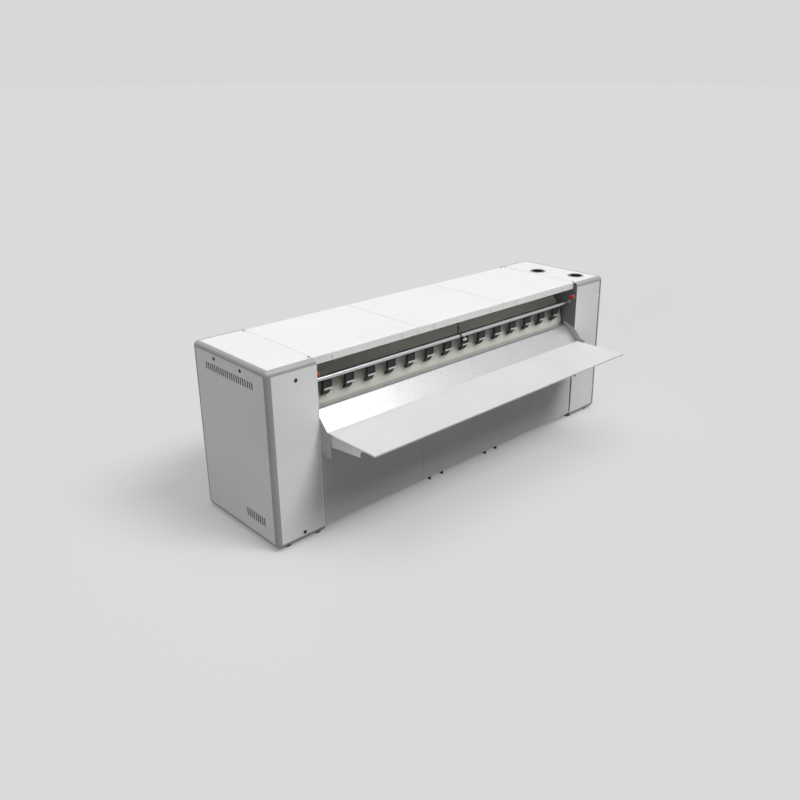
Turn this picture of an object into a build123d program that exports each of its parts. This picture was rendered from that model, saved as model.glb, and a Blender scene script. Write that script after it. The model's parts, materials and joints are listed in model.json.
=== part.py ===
from build123d import *
import math
import os

# A flatwork ironer: a clothed roll turns in a heated bed between two end cabinets.
# x runs from the middle of the machine, y from its delivery face towards the feed side and z from
# the floor; save() then moves all of it along y, so that the origin lies under the whole box.

# The whole machine
machine_length = 3535
machine_depth = 895
machine_height = 1265
cabinet_width = 380
floor_gap = 15
centre_floor_gap = 50

# Cabinet skin
edge_radius = 34
moulding_wall = 6
moulding_lip = 10
panel_inset = 2
panel_sheet = 2
panel_gap = 1
seat_gap = 0.2
running_gap = 0.05

# Ventilation slots of the end panels
vent_width = 8
upper_vent = (22, 26.5, 51)      # count, pitch, height
upper_vent_drop = 134.5
lower_vent = (9, 25.5, 64)
lower_vent_rise = 157
lower_vent_y = 250

# Steelwork
frame_plate = 8
frame_strip = (25, 2)
frame_corner_gap = 2
rail_size = 60
rail_wall = 4
rail_y = 26
rail_z = 52
rail_end_gap = 37
cross_rail_in = 117.5
upright_width = 30
tie_size = 40
tie_wall = 3
tie_y = 50
fork_plate = 6
fork_plate_rise = 4
fork_width = 134
fork_y = 32
fork_centres = (-284.5, 349)
foot_pad_radius = 30
foot_pad_height = 12
foot_stem_radius = 8
foot_nut_radius = 13
foot_from_wall = 37.5
foot_from_ledge = (23.5, 12)      # along x and y, from the ledge of the bottom moulding

# Roll
roll_radius = 300
roll_height = 890
roll_front_gap = 147.5
roll_end_gap = 8
clothing_thickness = 12
drum_wall = 8
drum_end = 12
journal_radius = 40
journal_bore = 25
journal_flange_radius = 110
journal_flange = 6
journal_reach = (147, 162)       # beyond the side frames, drive side and suction side
bearing_size = 190
bearing_plate = 16
bearing_boss_radius = 68
bearing_depth = 45
bearing_hole_radius = 75
bearing_bolt_inset = 22

# Roll drive
chain_pitch = 15.875
roll_teeth = 60
motor_teeth = 15
sprocket_width = 6.8
sprocket_out = 132
tooth_height = 4.5
roller_seat = 5.1
motor_y = 250
motor_z = 410
gearbox_size = (120, 140, 160)
motor_radius = 58
motor_length = 220
output_radius = 14
chain_plate = 3
chain_gap = 0.5
chain_web = 2
chain_inside = 7

# Heated bed
bed_closed_gap = 0.6
bed_travel = 12
bed_end_gap = 12.5
bed_edge_drop = 45
bed_plate_thickness = 10
bed_strips = 11                   # rolled strips, butted edge to edge; an odd number puts one at the bottom
heater_radius = 5.5
heater_count = 12
heater_space = 0.3
heater_end_gap = 20
insulation_thickness = 22.8
casing_sheet = 2
saddle_x = 900
saddle_web = 12
saddle_half_width = 230
saddle_foot_width = 100
saddle_foot = 12
saddle_foot_drop = 75             # underside of the foot below the roll radius and bed's centre
rod_radius = 10
cylinder_radius = 32
cylinder_drop = 173               # top of the lift cylinder below the foot
post_radius = 12.5
post_y = 190
post_x = 31
post_above_foot = 53

# Fans and outlets in the right cabinet
outlet_radius = 60
outlet_wall = 3
outlet_rim_radius = 72
vapour_outlet_out = 105           # beyond the side frame
vapour_outlet_back = 79.5         # behind the roll's axis
hood_outlet_out = 210
hood_outlet_forward = 264.5       # in front of the roll's axis
scroll_radius = 105
scroll_width = 90
scroll_sheet = 2
scroll_drop = 175
neck_width = 110
neck_drop = 65
inlet_radius = 50
impeller_radius = 80
impeller_blades = 12
fan_shaft_radius = 6
fan_motor_radius = 45
fan_motor_length = 48
standoff_radius = 8
suction_depth = 70
hood_port_from_fan = 32
hood_port_width = 90
hood_port_height = 45
hood_port_drop = 15
pin_to_duct = 40

# Feed side
feed_reach = 355
feed_roller_radius = 30
feed_journal_radius = 10
feed_roller_above = 35
belt_thickness = 2
belt_slack = 0.3
belt_width = 40
belt_pitch = 80
belt_end_gap = 35
belt_to_roll = 10
table_sheet = 2
feed_cheek = 8
guard_shaft_radius = 8
guard_shaft_drop = 85
guard_sheet = 3
guard_slot = 27

# Delivery side
cover_y = 42
cover_lip = 57
cover_sheet = 2
cover_corner = 8
cover_gap = 1.5
cover_slit = (1.6, 38)
cover_slit_offset = 155
tube_radius = 15
tube_wall = 2
tube_forward = 73.5
tube_above = 196
tube_taper = 150
tube_end = (12, 5)
bar_size = 40
bar_wall = 3
bar_forward = 22.5
bar_above = 180
bar_pin_radius = 10
stripper_count = 14
stripper_pitch = 190
stripper_width = 65
stripper_height = 65
stripper_y = (101, 125)
clip_size = (68, 3, 11)
clip_shift = 3
shoe_gap = 0.6
shoe_width = 60
sensor_x = 77
lead_radius = 2.5
chute_sheet = 2
chute_below = 14
chute_lip = 19
chute_bend = 60
chute_slope = 46.5
chute_end_y = -36
cheek_plate = 4
shelf_below = 133                 # shelf top below the roll's axis
shelf_depth = 475
shelf_back_y = -45
shelf_edge = 12
shelf_sheet = 1.5
shelf_side_gap = 23.5
arm_plate = 4
arm_flange = 34
arm_front = -401
arm_screws = ((-132, -44), (-153, -42))

# Controls, locks and small hardware
stop_y = 35
stop_above = 248
stop_collar_radius = 22
stop_collar = 12
stop_stem_radius = 8
stop_head_radius = 20
stop_head = 16
stop_travel = 5
lock_head_radius = 13
lock_head = 2
lock_barrel_radius = 9
lock_core_radius = 5
lock_depth = 7
end_lock_drop = 21.5              # below the ledge of the top moulding
front_lock_drop = 59
front_lock_rise = 14
cam_width = 14
cam_plate = 3
cap_radius = 8
cap_head = 4
door_gap = 7
door_knuckle_radius = 2.9
door_pin_radius = 1.5
knuckle_length = 18
hinge_heights = (215, 1080)

half_length = machine_length / 2
wall_x = half_length - cabinet_width
frame_x = wall_x + frame_plate
ledge_depth = panel_inset + panel_sheet
panel_face = machine_height - panel_inset
rail_top = rail_z + rail_size
back_y = machine_depth
roll_y = roll_front_gap + roll_radius
roll_half = wall_x - roll_end_gap
ledge_edge = edge_radius + moulding_lip
foot_x = (wall_x + foot_from_wall, half_length - ledge_edge - foot_from_ledge[0])
foot_inset_y = ledge_edge + foot_from_ledge[1]
vapour_outlet = (frame_x + vapour_outlet_out, roll_y + vapour_outlet_back)
hood_outlet = (frame_x + hood_outlet_out, roll_y - hood_outlet_forward)
port_top = machine_height - hood_port_drop
fan_offset = scroll_radius - neck_width / 2
port_y1 = vapour_outlet[1] + fan_offset - scroll_radius - hood_port_from_fan
hood_port = (port_y1 - hood_port_width, port_y1, port_top - hood_port_height, port_top)
feed_roller_z = roll_height + feed_roller_above
guard_shaft_z = machine_height - guard_shaft_drop
shelf_top = roll_height - shelf_below
feed_end_y = machine_depth + feed_reach
shelf_front_y = shelf_back_y - shelf_depth
middle_y = (feed_end_y + shelf_front_y) / 2

os.makedirs("parts", exist_ok=True)


def block(x0, x1, y0, y1, z0, z1):
    return Pos((x0 + x1) / 2, (y0 + y1) / 2, (z0 + z1) / 2) * Box(x1 - x0, y1 - y0, z1 - z0)


def rod_x(x0, x1, y, z, radius):
    return Pos((x0 + x1) / 2, y, z) * Rot(0, 90, 0) * Cylinder(radius, x1 - x0)


def rod_y(x, y0, y1, z, radius):
    return Pos(x, (y0 + y1) / 2, z) * Rot(90, 0, 0) * Cylinder(radius, y1 - y0)


def rod_z(x, y, z0, z1, radius):
    return Pos(x, y, (z0 + z1) / 2) * Cylinder(radius, z1 - z0)


def ring_x(x0, x1, y, z, inner, outer):
    return rod_x(x0, x1, y, z, outer) - rod_x(x0 - 1, x1 + 1, y, z, inner)


def tube_along_x(x0, x1, y0, y1, z0, z1, wall):
    inside = block(x0 - 1, x1 + 1, y0 + wall, y1 - wall, z0 + wall, z1 - wall)
    return block(x0, x1, y0, y1, z0, z1) - inside


def tube_along_y(x0, x1, y0, y1, z0, z1, wall):
    inside = block(x0 + wall, x1 - wall, y0 - 1, y1 + 1, z0 + wall, z1 - wall)
    return block(x0, x1, y0, y1, z0, z1) - inside


def prism_x(points, x0, x1):
    outline = Polyline([(x0, y, z) for y, z in points], close=True)
    return extrude(make_face(outline), amount=x1 - x0, dir=(1, 0, 0))


def mirrored(piece):
    return mirror(piece, about=Plane.YZ)


def both(piece):
    return [piece, mirrored(piece)]


def save(name, *pieces):
    solids = [Pos(0, -middle_y, 0) * solid for piece in pieces for solid in piece.solids()]
    whole = solids[0] if len(solids) == 1 else Compound(children=solids)
    export_step(whole, f"parts/{name}.step")
    print(name, len(solids), flush=True)


# ---------- base ----------
rail_half = half_length - rail_end_gap
rail_inner = rail_y + rail_size
foot_ys = (foot_inset_y, back_y - foot_inset_y)
foot_places = [(side * x, y) for side in (-1, 1) for x in foot_x for y in foot_ys]

base = []
for y0 in (rail_y, back_y - rail_inner):
    rail = tube_along_x(-rail_half, rail_half, y0, y0 + rail_size, rail_z, rail_top, rail_wall)
    for x, y in foot_places:
        rail -= rod_z(x, y, rail_z - 1, rail_z + rail_wall + 1, foot_stem_radius + seat_gap)
    base.append(rail)

cross_rails = (
    (saddle_x - rail_size, 2 * rail_size),
    (frame_x, rail_size),
    (half_length - cross_rail_in, rail_size),
)
for x0, width in cross_rails:
    beam = tube_along_y(x0, x0 + width, rail_inner, back_y - rail_inner, rail_z, rail_top, rail_wall)
    base += both(beam)

lower_half = wall_x - 17.5
lower_third = 2 * lower_half / 3
for y0, y1, top in ((2, rail_y, shelf_top - 17), (back_y - rail_y, back_y - 2, roll_height - 50)):
    for x in (lower_third / 2, lower_half - 20):
        post = block(x - upright_width / 2, x + upright_width / 2, y0, y1, rail_z + 8, top)
        base += both(post)

for centre in fork_centres:
    for side in (-1, 1):
        x = centre + side * fork_width / 2
        x0, x1 = x - fork_plate / 2, x + fork_plate / 2
        base.append(block(x0, x1, fork_y, back_y - fork_y, fork_plate_rise, rail_z))
save("base_frame", *base)

feet = []
for x, y in foot_places:
    foot = rod_z(x, y, 0, foot_pad_height, foot_pad_radius)
    foot += rod_z(x, y, foot_pad_height, rail_z + 30, foot_stem_radius)
    foot += rod_z(x, y, rail_z - 10, rail_z, foot_nut_radius)
    feet.append(foot)
save("levelling_feet", *feet)


# ---------- side frames ----------
bar_y = roll_front_gap - bar_forward
bar_z = roll_height + bar_above
stop_z = roll_height + stop_above
guard_y = back_y - cover_y - 11
cap_x = wall_x + 15
cap_ys = (62, back_y - 62)


def side_frame():
    y1, z1 = back_y - moulding_wall, machine_height - moulding_wall
    plate = block(wall_x, frame_x, moulding_wall, y1, rail_top, z1)
    corner = edge_radius - moulding_wall + frame_corner_gap
    plate = chamfer(plate.edges().filter_by(Axis.X).group_by(Axis.Z)[-1], corner)
    reach, strip = frame_strip
    window = ledge_edge + 1
    low, high = rail_top, machine_height - window
    plate += block(wall_x, wall_x + reach, moulding_wall - strip, moulding_wall, low, high)
    plate += block(wall_x, wall_x + reach, y1, y1 + strip, low, high)
    plate += block(wall_x, wall_x + reach, window, back_y - window, z1, z1 + strip)
    plate += block(wall_x - 10, wall_x, guard_y - 9, guard_y + 15, guard_shaft_z - 15, guard_shaft_z + 15)
    plate -= rod_x(wall_x - 11, frame_x + 1, guard_y, guard_shaft_z, guard_shaft_radius + running_gap)
    plate -= rod_x(wall_x - 1, frame_x + 1, roll_y, roll_height, bearing_hole_radius)
    plate -= rod_x(wall_x - 1, frame_x + 1, bar_y, bar_z, bar_pin_radius + running_gap)
    plate -= rod_x(wall_x - 1, frame_x + 1, stop_y, stop_z, stop_stem_radius + 1)
    for y in cap_ys:
        plate -= rod_z(cap_x, y, z1 - 1, z1 + strip + 1, cap_radius / 2 + seat_gap)
    return plate


save("left_side_frame", mirrored(side_frame()))
save("right_side_frame", side_frame() - block(wall_x - 1, frame_x + 1, *hood_port))

ties = []
for y0 in (tie_y, back_y - tie_y - tie_size):
    z1 = machine_height - cover_sheet
    ties.append(tube_along_x(-wall_x, wall_x, y0, y0 + tie_size, z1 - tie_size, z1, tie_wall))
save("tie_rails", *ties)


# ---------- cabinet skin ----------
def cabinet_box(inset, radius):
    z0, z1 = floor_gap + inset, machine_height - inset
    body = block(wall_x, half_length - inset, inset, back_y - inset, z0, z1)
    return fillet(body.edges().filter_by(lambda edge: edge.center().X > wall_x + 1), radius)


def mouldings(doorway):
    skin = cabinet_box(0, edge_radius) - cabinet_box(moulding_wall, edge_radius - moulding_wall)
    through = moulding_wall + 1
    for lip, depth in ((0, ledge_depth), (moulding_lip, through)):
        edge = edge_radius + lip
        x0, x1 = wall_x - 1, half_length - edge
        y0, y1 = edge, back_y - edge
        z0, z1 = floor_gap + edge, machine_height - edge
        skin -= block(half_length - depth, half_length + 1, y0, y1, z0, z1)
        skin -= block(x0, x1, -1, depth, z0, z1)
        skin -= block(x0, x1, back_y - depth, back_y + 1, z0, z1)
        skin -= block(x0, x1, y0, y1, machine_height - depth, machine_height + 1)
    skin -= block(x0, x1, y0, y1, floor_gap - 1, floor_gap + through)
    if doorway:
        edge = edge_radius
        skin -= block(x1 - 1, half_length - edge, -1, through, floor_gap + edge, machine_height - edge)
    split = ledge_edge
    ys = (-1, split, back_y - split, back_y + 1)
    zs = (floor_gap - 1, floor_gap + split, machine_height - split, machine_height + 1)
    x0, x1, x2 = wall_x - 1, half_length - split, half_length + 1
    bars = []
    for j in range(3):
        for k in range(3):
            if j != 1 and k != 1:
                bars.append(skin & block(x0, x1, ys[j], ys[j + 1], zs[k], zs[k + 1]))
            if j != 1 or k != 1:
                bars.append(skin & block(x1, x2, ys[j], ys[j + 1], zs[k], zs[k + 1]))
    return bars


save("edge_mouldings", *mouldings(True), *[mirrored(bar) for bar in mouldings(False)])

panel_edge = edge_radius + panel_gap
panel_z = (floor_gap + panel_edge, machine_height - panel_edge)
end_lock_z = machine_height - ledge_edge - end_lock_drop
end_lock_places = ((300, end_lock_z), (619, end_lock_z))
front_lock_x = -(half_length - 215.5)
front_lock_places = (
    (front_lock_x, machine_height - ledge_edge - front_lock_drop),
    (front_lock_x, floor_gap + ledge_edge + front_lock_rise),
)
door_lock_place = (wall_x + 45, 405)
hole = lock_barrel_radius + seat_gap


def end_panel():
    x0, x1 = half_length - ledge_depth, half_length - panel_inset
    panel = block(x0, x1, panel_edge, back_y - panel_edge, *panel_z)
    rows = (
        (upper_vent, back_y / 2, machine_height - upper_vent_drop),
        (lower_vent, lower_vent_y, floor_gap + lower_vent_rise),
    )
    for (count, pitch, height), y, z in rows:
        slots = []
        for i in range(count):
            slot_y = y + (i - (count - 1) / 2) * pitch
            slots.append(Pos(x0, slot_y, z) * Box(10, vent_width, height))
        panel -= slots
    return panel


left_end = mirrored(end_panel())
for y, z in end_lock_places:
    left_end -= rod_x(-half_length - 1, -half_length + 10, y, z, hole)
save("end_panels", left_end, end_panel())

panel_x = (wall_x, half_length - panel_edge)
left_front = block(-panel_x[1], -panel_x[0], panel_inset, ledge_depth, *panel_z)
for x, z in front_lock_places:
    left_front -= rod_y(x, -1, 10, z, hole)
save("left_front_panel", left_front)

top_panel = block(*panel_x, panel_edge, back_y - panel_edge, machine_height - ledge_depth, panel_face)
for y in cap_ys:
    top_panel -= rod_z(cap_x, y, panel_face - 5, panel_face + 1, cap_radius / 2 + seat_gap)
right_top = top_panel
for x, y in (vapour_outlet, hood_outlet):
    right_top -= rod_z(x, y, panel_face - 5, panel_face + 1, outlet_radius + outlet_wall + seat_gap)
save("cabinet_top_panels", mirrored(top_panel), right_top)

gland_place = (-(half_length - 167.5), 150)
station = (half_length - 190, roll_height + 160)
back_panel = block(*panel_x, back_y - ledge_depth, back_y - panel_inset, *panel_z)
gland_hole = rod_y(gland_place[0], back_y - 10, back_y + 1, gland_place[1], 12 + seat_gap)
station_x, station_z = station
station_hole = block(station_x - 60, station_x + 60, back_y - 10, back_y + 1, station_z - 40, station_z + 40)
left_back = mirrored(back_panel) - gland_hole
right_back = back_panel - station_hole
save("cabinet_back_panels", left_back, right_back)

hinge_x = half_length - edge_radius - door_gap / 2
hinge_y = panel_inset + door_knuckle_radius
door_edge = hinge_x - door_gap / 2
door = block(wall_x, door_edge, panel_inset, ledge_depth, *panel_z)
door -= rod_y(door_lock_place[0], -1, 10, door_lock_place[1], hole)
bore = door_pin_radius + running_gap
hinges = []
for z in hinge_heights:
    low, high = z - knuckle_length, z + knuckle_length
    # the door carries the upper knuckle and the moulding the lower one, with its pin
    knuckle = rod_z(hinge_x, hinge_y, z + 0.5, high, door_knuckle_radius)
    knuckle += block(door_edge - 1, hinge_x - 2, panel_inset, ledge_depth, z + 0.5, high)
    door += knuckle
    door -= rod_z(hinge_x, hinge_y, z, high + 1, bore)
    leaf = rod_z(hinge_x, hinge_y, low, z, door_knuckle_radius)
    leaf += block(hinge_x, hinge_x + door_gap / 2, panel_inset + 0.5, moulding_wall - 0.5, low, z)
    leaf += rod_z(hinge_x, hinge_y, z, high - 1, door_pin_radius)
    hinges.append(leaf)
save("right_door", door)


# ---------- locks and cabinet hardware ----------
def lock_parts(cam_length):
    """A lock facing -y at the origin: its barrel, and its core with the cam pointing up."""
    face, back = panel_inset, panel_inset + lock_depth
    barrel = rod_y(0, face - lock_head, face, 0, lock_head_radius)
    barrel += rod_y(0, face, moulding_wall, 0, lock_barrel_radius)
    barrel -= rod_y(0, face - lock_head - 1, moulding_wall + 1, 0, lock_core_radius + running_gap)
    core = rod_y(0, face - lock_head + 0.5, back, 0, lock_core_radius)
    core -= block(-0.8, 0.8, face - lock_head, face - 1, -4, 4)
    cam_y = moulding_wall + 0.3
    core += block(-cam_width / 2, cam_width / 2, cam_y, cam_y + cam_plate, -cam_width / 2, cam_length)
    return barrel, core


window_low = floor_gap + edge_radius + moulding_lip
window_high = machine_height - edge_radius - moulding_lip
barrels = []
cores = {}


def place_lock(name, place, cam_length):
    barrel, core = lock_parts(cam_length)
    barrels.append(place * barrel)
    cores[name] = place * core


for index, (y, z) in enumerate(end_lock_places):
    name = ("end_lock_front", "end_lock_back")[index]
    place_lock(name, Pos(-half_length, y, z) * Rot(0, 0, -90), window_high + 6 - z)
x, z = front_lock_places[0]
place_lock("front_lock_upper", Pos(x, 0, z), window_high + 6 - z)
x, z = front_lock_places[1]
place_lock("front_lock_lower", Pos(x, 0, z) * Rot(0, 180, 0), z - window_low + 6)
x, z = door_lock_place
place_lock("door_lock", Pos(x, 0, z), x - wall_x - frame_strip[0] + 6)
save("door_lock_barrel", barrels[4])
for name, core in cores.items():
    save(name, core)

caps = []
for side in (-1, 1):
    for y in cap_ys:
        cap = rod_z(side * cap_x, y, panel_face, panel_face + cap_head, cap_radius)
        cap += rod_z(side * cap_x, y, panel_face - 12, panel_face, cap_radius / 2)
        caps.append(cap)
gland_x, gland_z = gland_place
gland = rod_y(gland_x, back_y - panel_inset, back_y + 22, gland_z, 18)
gland += rod_y(gland_x, back_y - 16, back_y - panel_inset, gland_z, 12)
gland -= rod_y(gland_x, back_y - 17, back_y + 23, gland_z, 8)
save("panel_hardware", *barrels[:4], *caps, *hinges, gland)


# ---------- covers and lower panels ----------
third = 2 * wall_x / 3
covers = []
for i in range(3):
    x0 = -wall_x + i * third + cover_gap
    x1 = -wall_x + (i + 1) * third - cover_gap
    z0 = machine_height - cover_lip
    cover = block(x0, x1, cover_y, back_y - cover_y, z0, machine_height)
    cover = fillet(cover.edges().filter_by(Axis.X).group_by(Axis.Z)[-1], cover_corner)
    y0, y1 = cover_y + cover_sheet, back_y - cover_y - cover_sheet
    inside = block(x0 - 1, x1 + 1, y0, y1, z0 - 9, machine_height - cover_sheet)
    inside = fillet(inside.edges().filter_by(Axis.X).group_by(Axis.Z)[-1], cover_corner - cover_sheet)
    cover -= inside
    slit_width, slit_height = cover_slit
    for x in (x0 + cover_slit_offset, x1 - cover_slit_offset):
        cover -= block(x - slit_width / 2, x + slit_width / 2, cover_y - 1, y0 + 1, z0 - 1, z0 + slit_height)
    covers.append(cover)
save("top_covers", *covers)


def lower_panels(y0, y1, top, lip):
    panels = []
    for i in range(3):
        x0 = -lower_half + i * lower_third + 1
        x1 = x0 + lower_third - 2
        panel = block(x0, x1, y0, y1, centre_floor_gap, top)
        panel += block(x0, x1, min(y0, lip), max(y1, lip), top - 2, top)
        panels.append(panel)
    return panels


front_panels = lower_panels(0, 2, shelf_top + 8, 22)
save("lower_panels", *front_panels, *lower_panels(back_y - 2, back_y, roll_height - 20, back_y - 22))


# ---------- roll ----------
drum_radius = roll_radius - clothing_thickness - seat_gap
drum = ring_x(-roll_half, roll_half, roll_y, roll_height, drum_radius - drum_wall, drum_radius)
for x0 in (-roll_half, roll_half - drum_end):
    drum += ring_x(x0, x0 + drum_end, roll_y, roll_height, journal_bore, drum_radius - drum_wall)
save("roll_drum", drum)
clothing_inside = roll_radius - clothing_thickness
save("roll_clothing", ring_x(-roll_half, roll_half, roll_y, roll_height, clothing_inside, roll_radius))

shafts = []
drive_reach, suction_reach = journal_reach
for reach, turn in ((suction_reach, 0), (drive_reach, 1)):
    shaft = rod_x(roll_half, roll_half + journal_flange, roll_y, roll_height, journal_flange_radius)
    shaft += rod_x(roll_half, frame_x + reach, roll_y, roll_height, journal_radius)
    shaft -= rod_x(roll_half - 1, frame_x + reach + 1, roll_y, roll_height, journal_bore)
    shafts.append(mirrored(shaft) if turn else shaft)
save("roll_end_shafts", *shafts)

plate_place = Pos(frame_x + bearing_plate / 2, roll_y, roll_height)
bearing = plate_place * Box(bearing_plate, bearing_size, bearing_size)
bearing = fillet(bearing.edges().filter_by(Axis.X), 20)
bearing += rod_x(frame_x, frame_x + bearing_depth, roll_y, roll_height, bearing_boss_radius)
corner = bearing_size / 2 - bearing_bolt_inset
bolt_x = frame_x + bearing_plate
for dy in (-corner, corner):
    for dz in (-corner, corner):
        bearing += rod_x(bolt_x, bolt_x + 8, roll_y + dy, roll_height + dz, 10)
bearing -= rod_x(frame_x - 1, frame_x + bearing_depth + 1, roll_y, roll_height, journal_radius + running_gap)
save("roll_bearings", *both(bearing))


# ---------- roll drive ----------
drive_x = -(frame_x + sprocket_out)


def sprocket_radius(teeth):
    return chain_pitch / 2 / math.sin(math.pi / teeth)


def sprocket(teeth, y, z, bore, hub_radius, hub_x0, hub_x1):
    radius = sprocket_radius(teeth)
    x0 = drive_x - sprocket_width / 2
    wheel = rod_x(x0, x0 + sprocket_width, y, z, radius + tooth_height)
    gaps = []
    for i in range(teeth):
        angle = 2 * math.pi * i / teeth
        gap_y, gap_z = y + radius * math.cos(angle), z + radius * math.sin(angle)
        gaps.append(rod_x(x0 - 1, x0 + sprocket_width + 1, gap_y, gap_z, roller_seat))
    wheel -= gaps
    wheel += rod_x(hub_x0, hub_x1, y, z, hub_radius)
    if bore:
        wheel -= rod_x(hub_x0 - 1, hub_x1 + 1, y, z, bore)
    return wheel


hub = (drive_x - 14, drive_x + 14)
save("roll_sprocket", sprocket(roll_teeth, roll_y, roll_height, journal_radius + seat_gap, 62, *hub))

gear_x, gear_y, gear_z = gearbox_size
gear_face = -(frame_x + gear_x)
pinion = sprocket(motor_teeth, motor_y, motor_z, 0, 22, drive_x - 10, drive_x + 8)
pinion += rod_x(drive_x, gear_face + 50, motor_y, motor_z, output_radius)
save("motor_sprocket", pinion)

motor_y0 = motor_y + gear_y / 2
gear_bottom, gear_top = motor_z - gear_z / 2, motor_z + gear_z / 2
gearmotor = block(gear_face, -frame_x, motor_y - gear_y / 2, motor_y0, gear_bottom, gear_top)
gearmotor = fillet(gearmotor.edges().filter_by(Axis.X), 12)
gear_middle = (gear_face - frame_x) / 2
gearmotor += rod_y(gear_middle, motor_y0, motor_y0 + motor_length, motor_z, motor_radius)
gearmotor += rod_y(gear_middle, motor_y0, motor_y0 + 14, motor_z, gear_x / 2 - 1)
terminal_top = motor_z + motor_radius + 30
gearmotor += block(gear_middle - 40, gear_middle + 40, motor_y0 + 60, motor_y0 + 150, motor_z, terminal_top)
gearmotor -= rod_x(gear_face - 1, gear_face + 51, motor_y, motor_z, output_radius + running_gap)
save("gearmotor", gearmotor)


def chain_outline(offset, x0, x1):
    """The band round both sprockets, offset from their pitch circles."""
    big, small = sprocket_radius(roll_teeth) + offset, sprocket_radius(motor_teeth) + offset
    dy, dz = motor_y - roll_y, motor_z - roll_height
    length = math.hypot(dy, dz)
    along = (dy / length, dz / length)
    across = (-along[1], along[0])
    spread = math.acos((big - small) / length)
    points = []
    for side, radius, y, z in ((1, big, roll_y, roll_height), (1, small, motor_y, motor_z),
                               (-1, small, motor_y, motor_z), (-1, big, roll_y, roll_height)):
        a, b = radius * math.cos(spread), side * radius * math.sin(spread)
        points.append((y + a * along[0] + b * across[0], z + a * along[1] + b * across[1]))
    band = prism_x(points, x0, x1)
    band += rod_x(x0, x1, roll_y, roll_height, big)
    band += rod_x(x0, x1, motor_y, motor_z, small)
    return band


inside_x = sprocket_width / 2 + chain_gap
outside_x = inside_x + chain_plate
tip = tooth_height + chain_gap
chain = chain_outline(tip + chain_web, drive_x - outside_x, drive_x + outside_x)
chain -= chain_outline(tip, drive_x - inside_x, drive_x + inside_x)
chain -= chain_outline(-chain_inside, drive_x - outside_x - 1, drive_x + outside_x + 1)
save("drive_chain", chain)


# ---------- heated bed ----------
bed_z = roll_height - bed_travel
bed_half = wall_x - bed_end_gap
plate_inside = roll_radius + bed_closed_gap
plate_outside = plate_inside + bed_plate_thickness
heater_circle = plate_outside + heater_space + heater_radius
insulation_inside = heater_circle + heater_radius + heater_space
insulation_outside = insulation_inside + insulation_thickness
casing_inside = insulation_outside + seat_gap
casing_outside = casing_inside + casing_sheet
bed_edge_z = bed_z - bed_edge_drop


def bed_ring(inner, outer, half, drop):
    y0, y1 = roll_y - outer - 1, roll_y + outer + 1
    ring = ring_x(-half, half, roll_y, bed_z, inner, outer)
    return ring - block(-half - 1, half + 1, y0, y1, bed_z - drop, bed_z + outer + 1)


inner_half = bed_half - casing_sheet
inner_drop = bed_edge_drop + casing_sheet
plate = bed_ring(plate_inside, plate_outside, inner_half, inner_drop)
plate_from = math.asin(inner_drop / plate_inside)
strip_angle = (math.pi - 2 * plate_from) / bed_strips
reach = 2 * plate_outside
strips = []
for i in range(bed_strips):
    # the outer strips keep the level edges of the plate
    a0 = plate_from + i * strip_angle if i else 0
    a1 = plate_from + (i + 1) * strip_angle if i < bed_strips - 1 else math.pi
    corners = [(roll_y - reach * math.cos(a), bed_z - reach * math.sin(a)) for a in (a0, a1)]
    strips.append(plate & prism_x([(roll_y, bed_z), *corners], -inner_half - 1, inner_half + 1))
save("bed_plate", *strips)
save("bed_insulation", bed_ring(insulation_inside, insulation_outside, inner_half, inner_drop))

heaters = []
first = math.asin((inner_drop + 16) / heater_circle)
for i in range(heater_count):
    angle = first + i * (math.pi - 2 * first) / (heater_count - 1)
    y, z = roll_y - heater_circle * math.cos(angle), bed_z - heater_circle * math.sin(angle)
    heaters.append(rod_x(-bed_half + heater_end_gap, bed_half - heater_end_gap, y, z, heater_radius))
save("bed_heaters", *heaters)

casing = bed_ring(plate_inside + 1, casing_outside, bed_half, bed_edge_drop)
casing -= bed_ring(plate_inside, casing_inside, inner_half, inner_drop)
save("bed_casing", casing)

saddles = []
foot_z = bed_z - roll_radius - saddle_foot_drop
cylinder_top = foot_z - cylinder_drop
for x in (-saddle_x, saddle_x):
    y0, y1 = roll_y - saddle_half_width, roll_y + saddle_half_width
    web = block(x - saddle_web / 2, x + saddle_web / 2, y0, y1, foot_z + saddle_foot, bed_z - roll_radius / 2)
    web -= rod_x(x - 20, x + 20, roll_y, bed_z, casing_outside + seat_gap)
    foot = block(x - saddle_foot_width / 2, x + saddle_foot_width / 2, y0, y1, foot_z, foot_z + saddle_foot)
    foot += rod_z(x, roll_y, rail_top + 38, foot_z, rod_radius)
    for dy in (-post_y, post_y):
        foot -= rod_z(x + post_x, roll_y + dy, foot_z - 1, foot_z + 13, post_radius + running_gap)
    saddles += [web, foot]
save("bed_saddles", saddles[0] + saddles[1], saddles[2] + saddles[3])

lifts = []
posts = []
for x in (-saddle_x, saddle_x):
    lift = rod_z(x, roll_y, rail_top, cylinder_top, cylinder_radius)
    lift += block(x - 45, x + 45, roll_y - 45, roll_y + 45, rail_top, rail_top + 12)
    lift += block(x - 38, x + 38, roll_y - 38, roll_y + 38, cylinder_top - 24, cylinder_top)
    lift -= rod_z(x, roll_y, rail_top + 20, cylinder_top + 1, rod_radius + running_gap)
    lifts.append(lift)
    for dy in (-post_y, post_y):
        post = rod_z(x + post_x, roll_y + dy, rail_top, foot_z + saddle_foot + post_above_foot, post_radius)
        post += rod_z(x + post_x, roll_y + dy, rail_top, rail_top + 10, 2 * post_radius)
        posts.append(post)
save("bed_lifts", *lifts, *posts)


# ---------- fans, ducts and outlets ----------
fan_z = machine_height - scroll_drop
neck_top = machine_height - neck_drop


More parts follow.
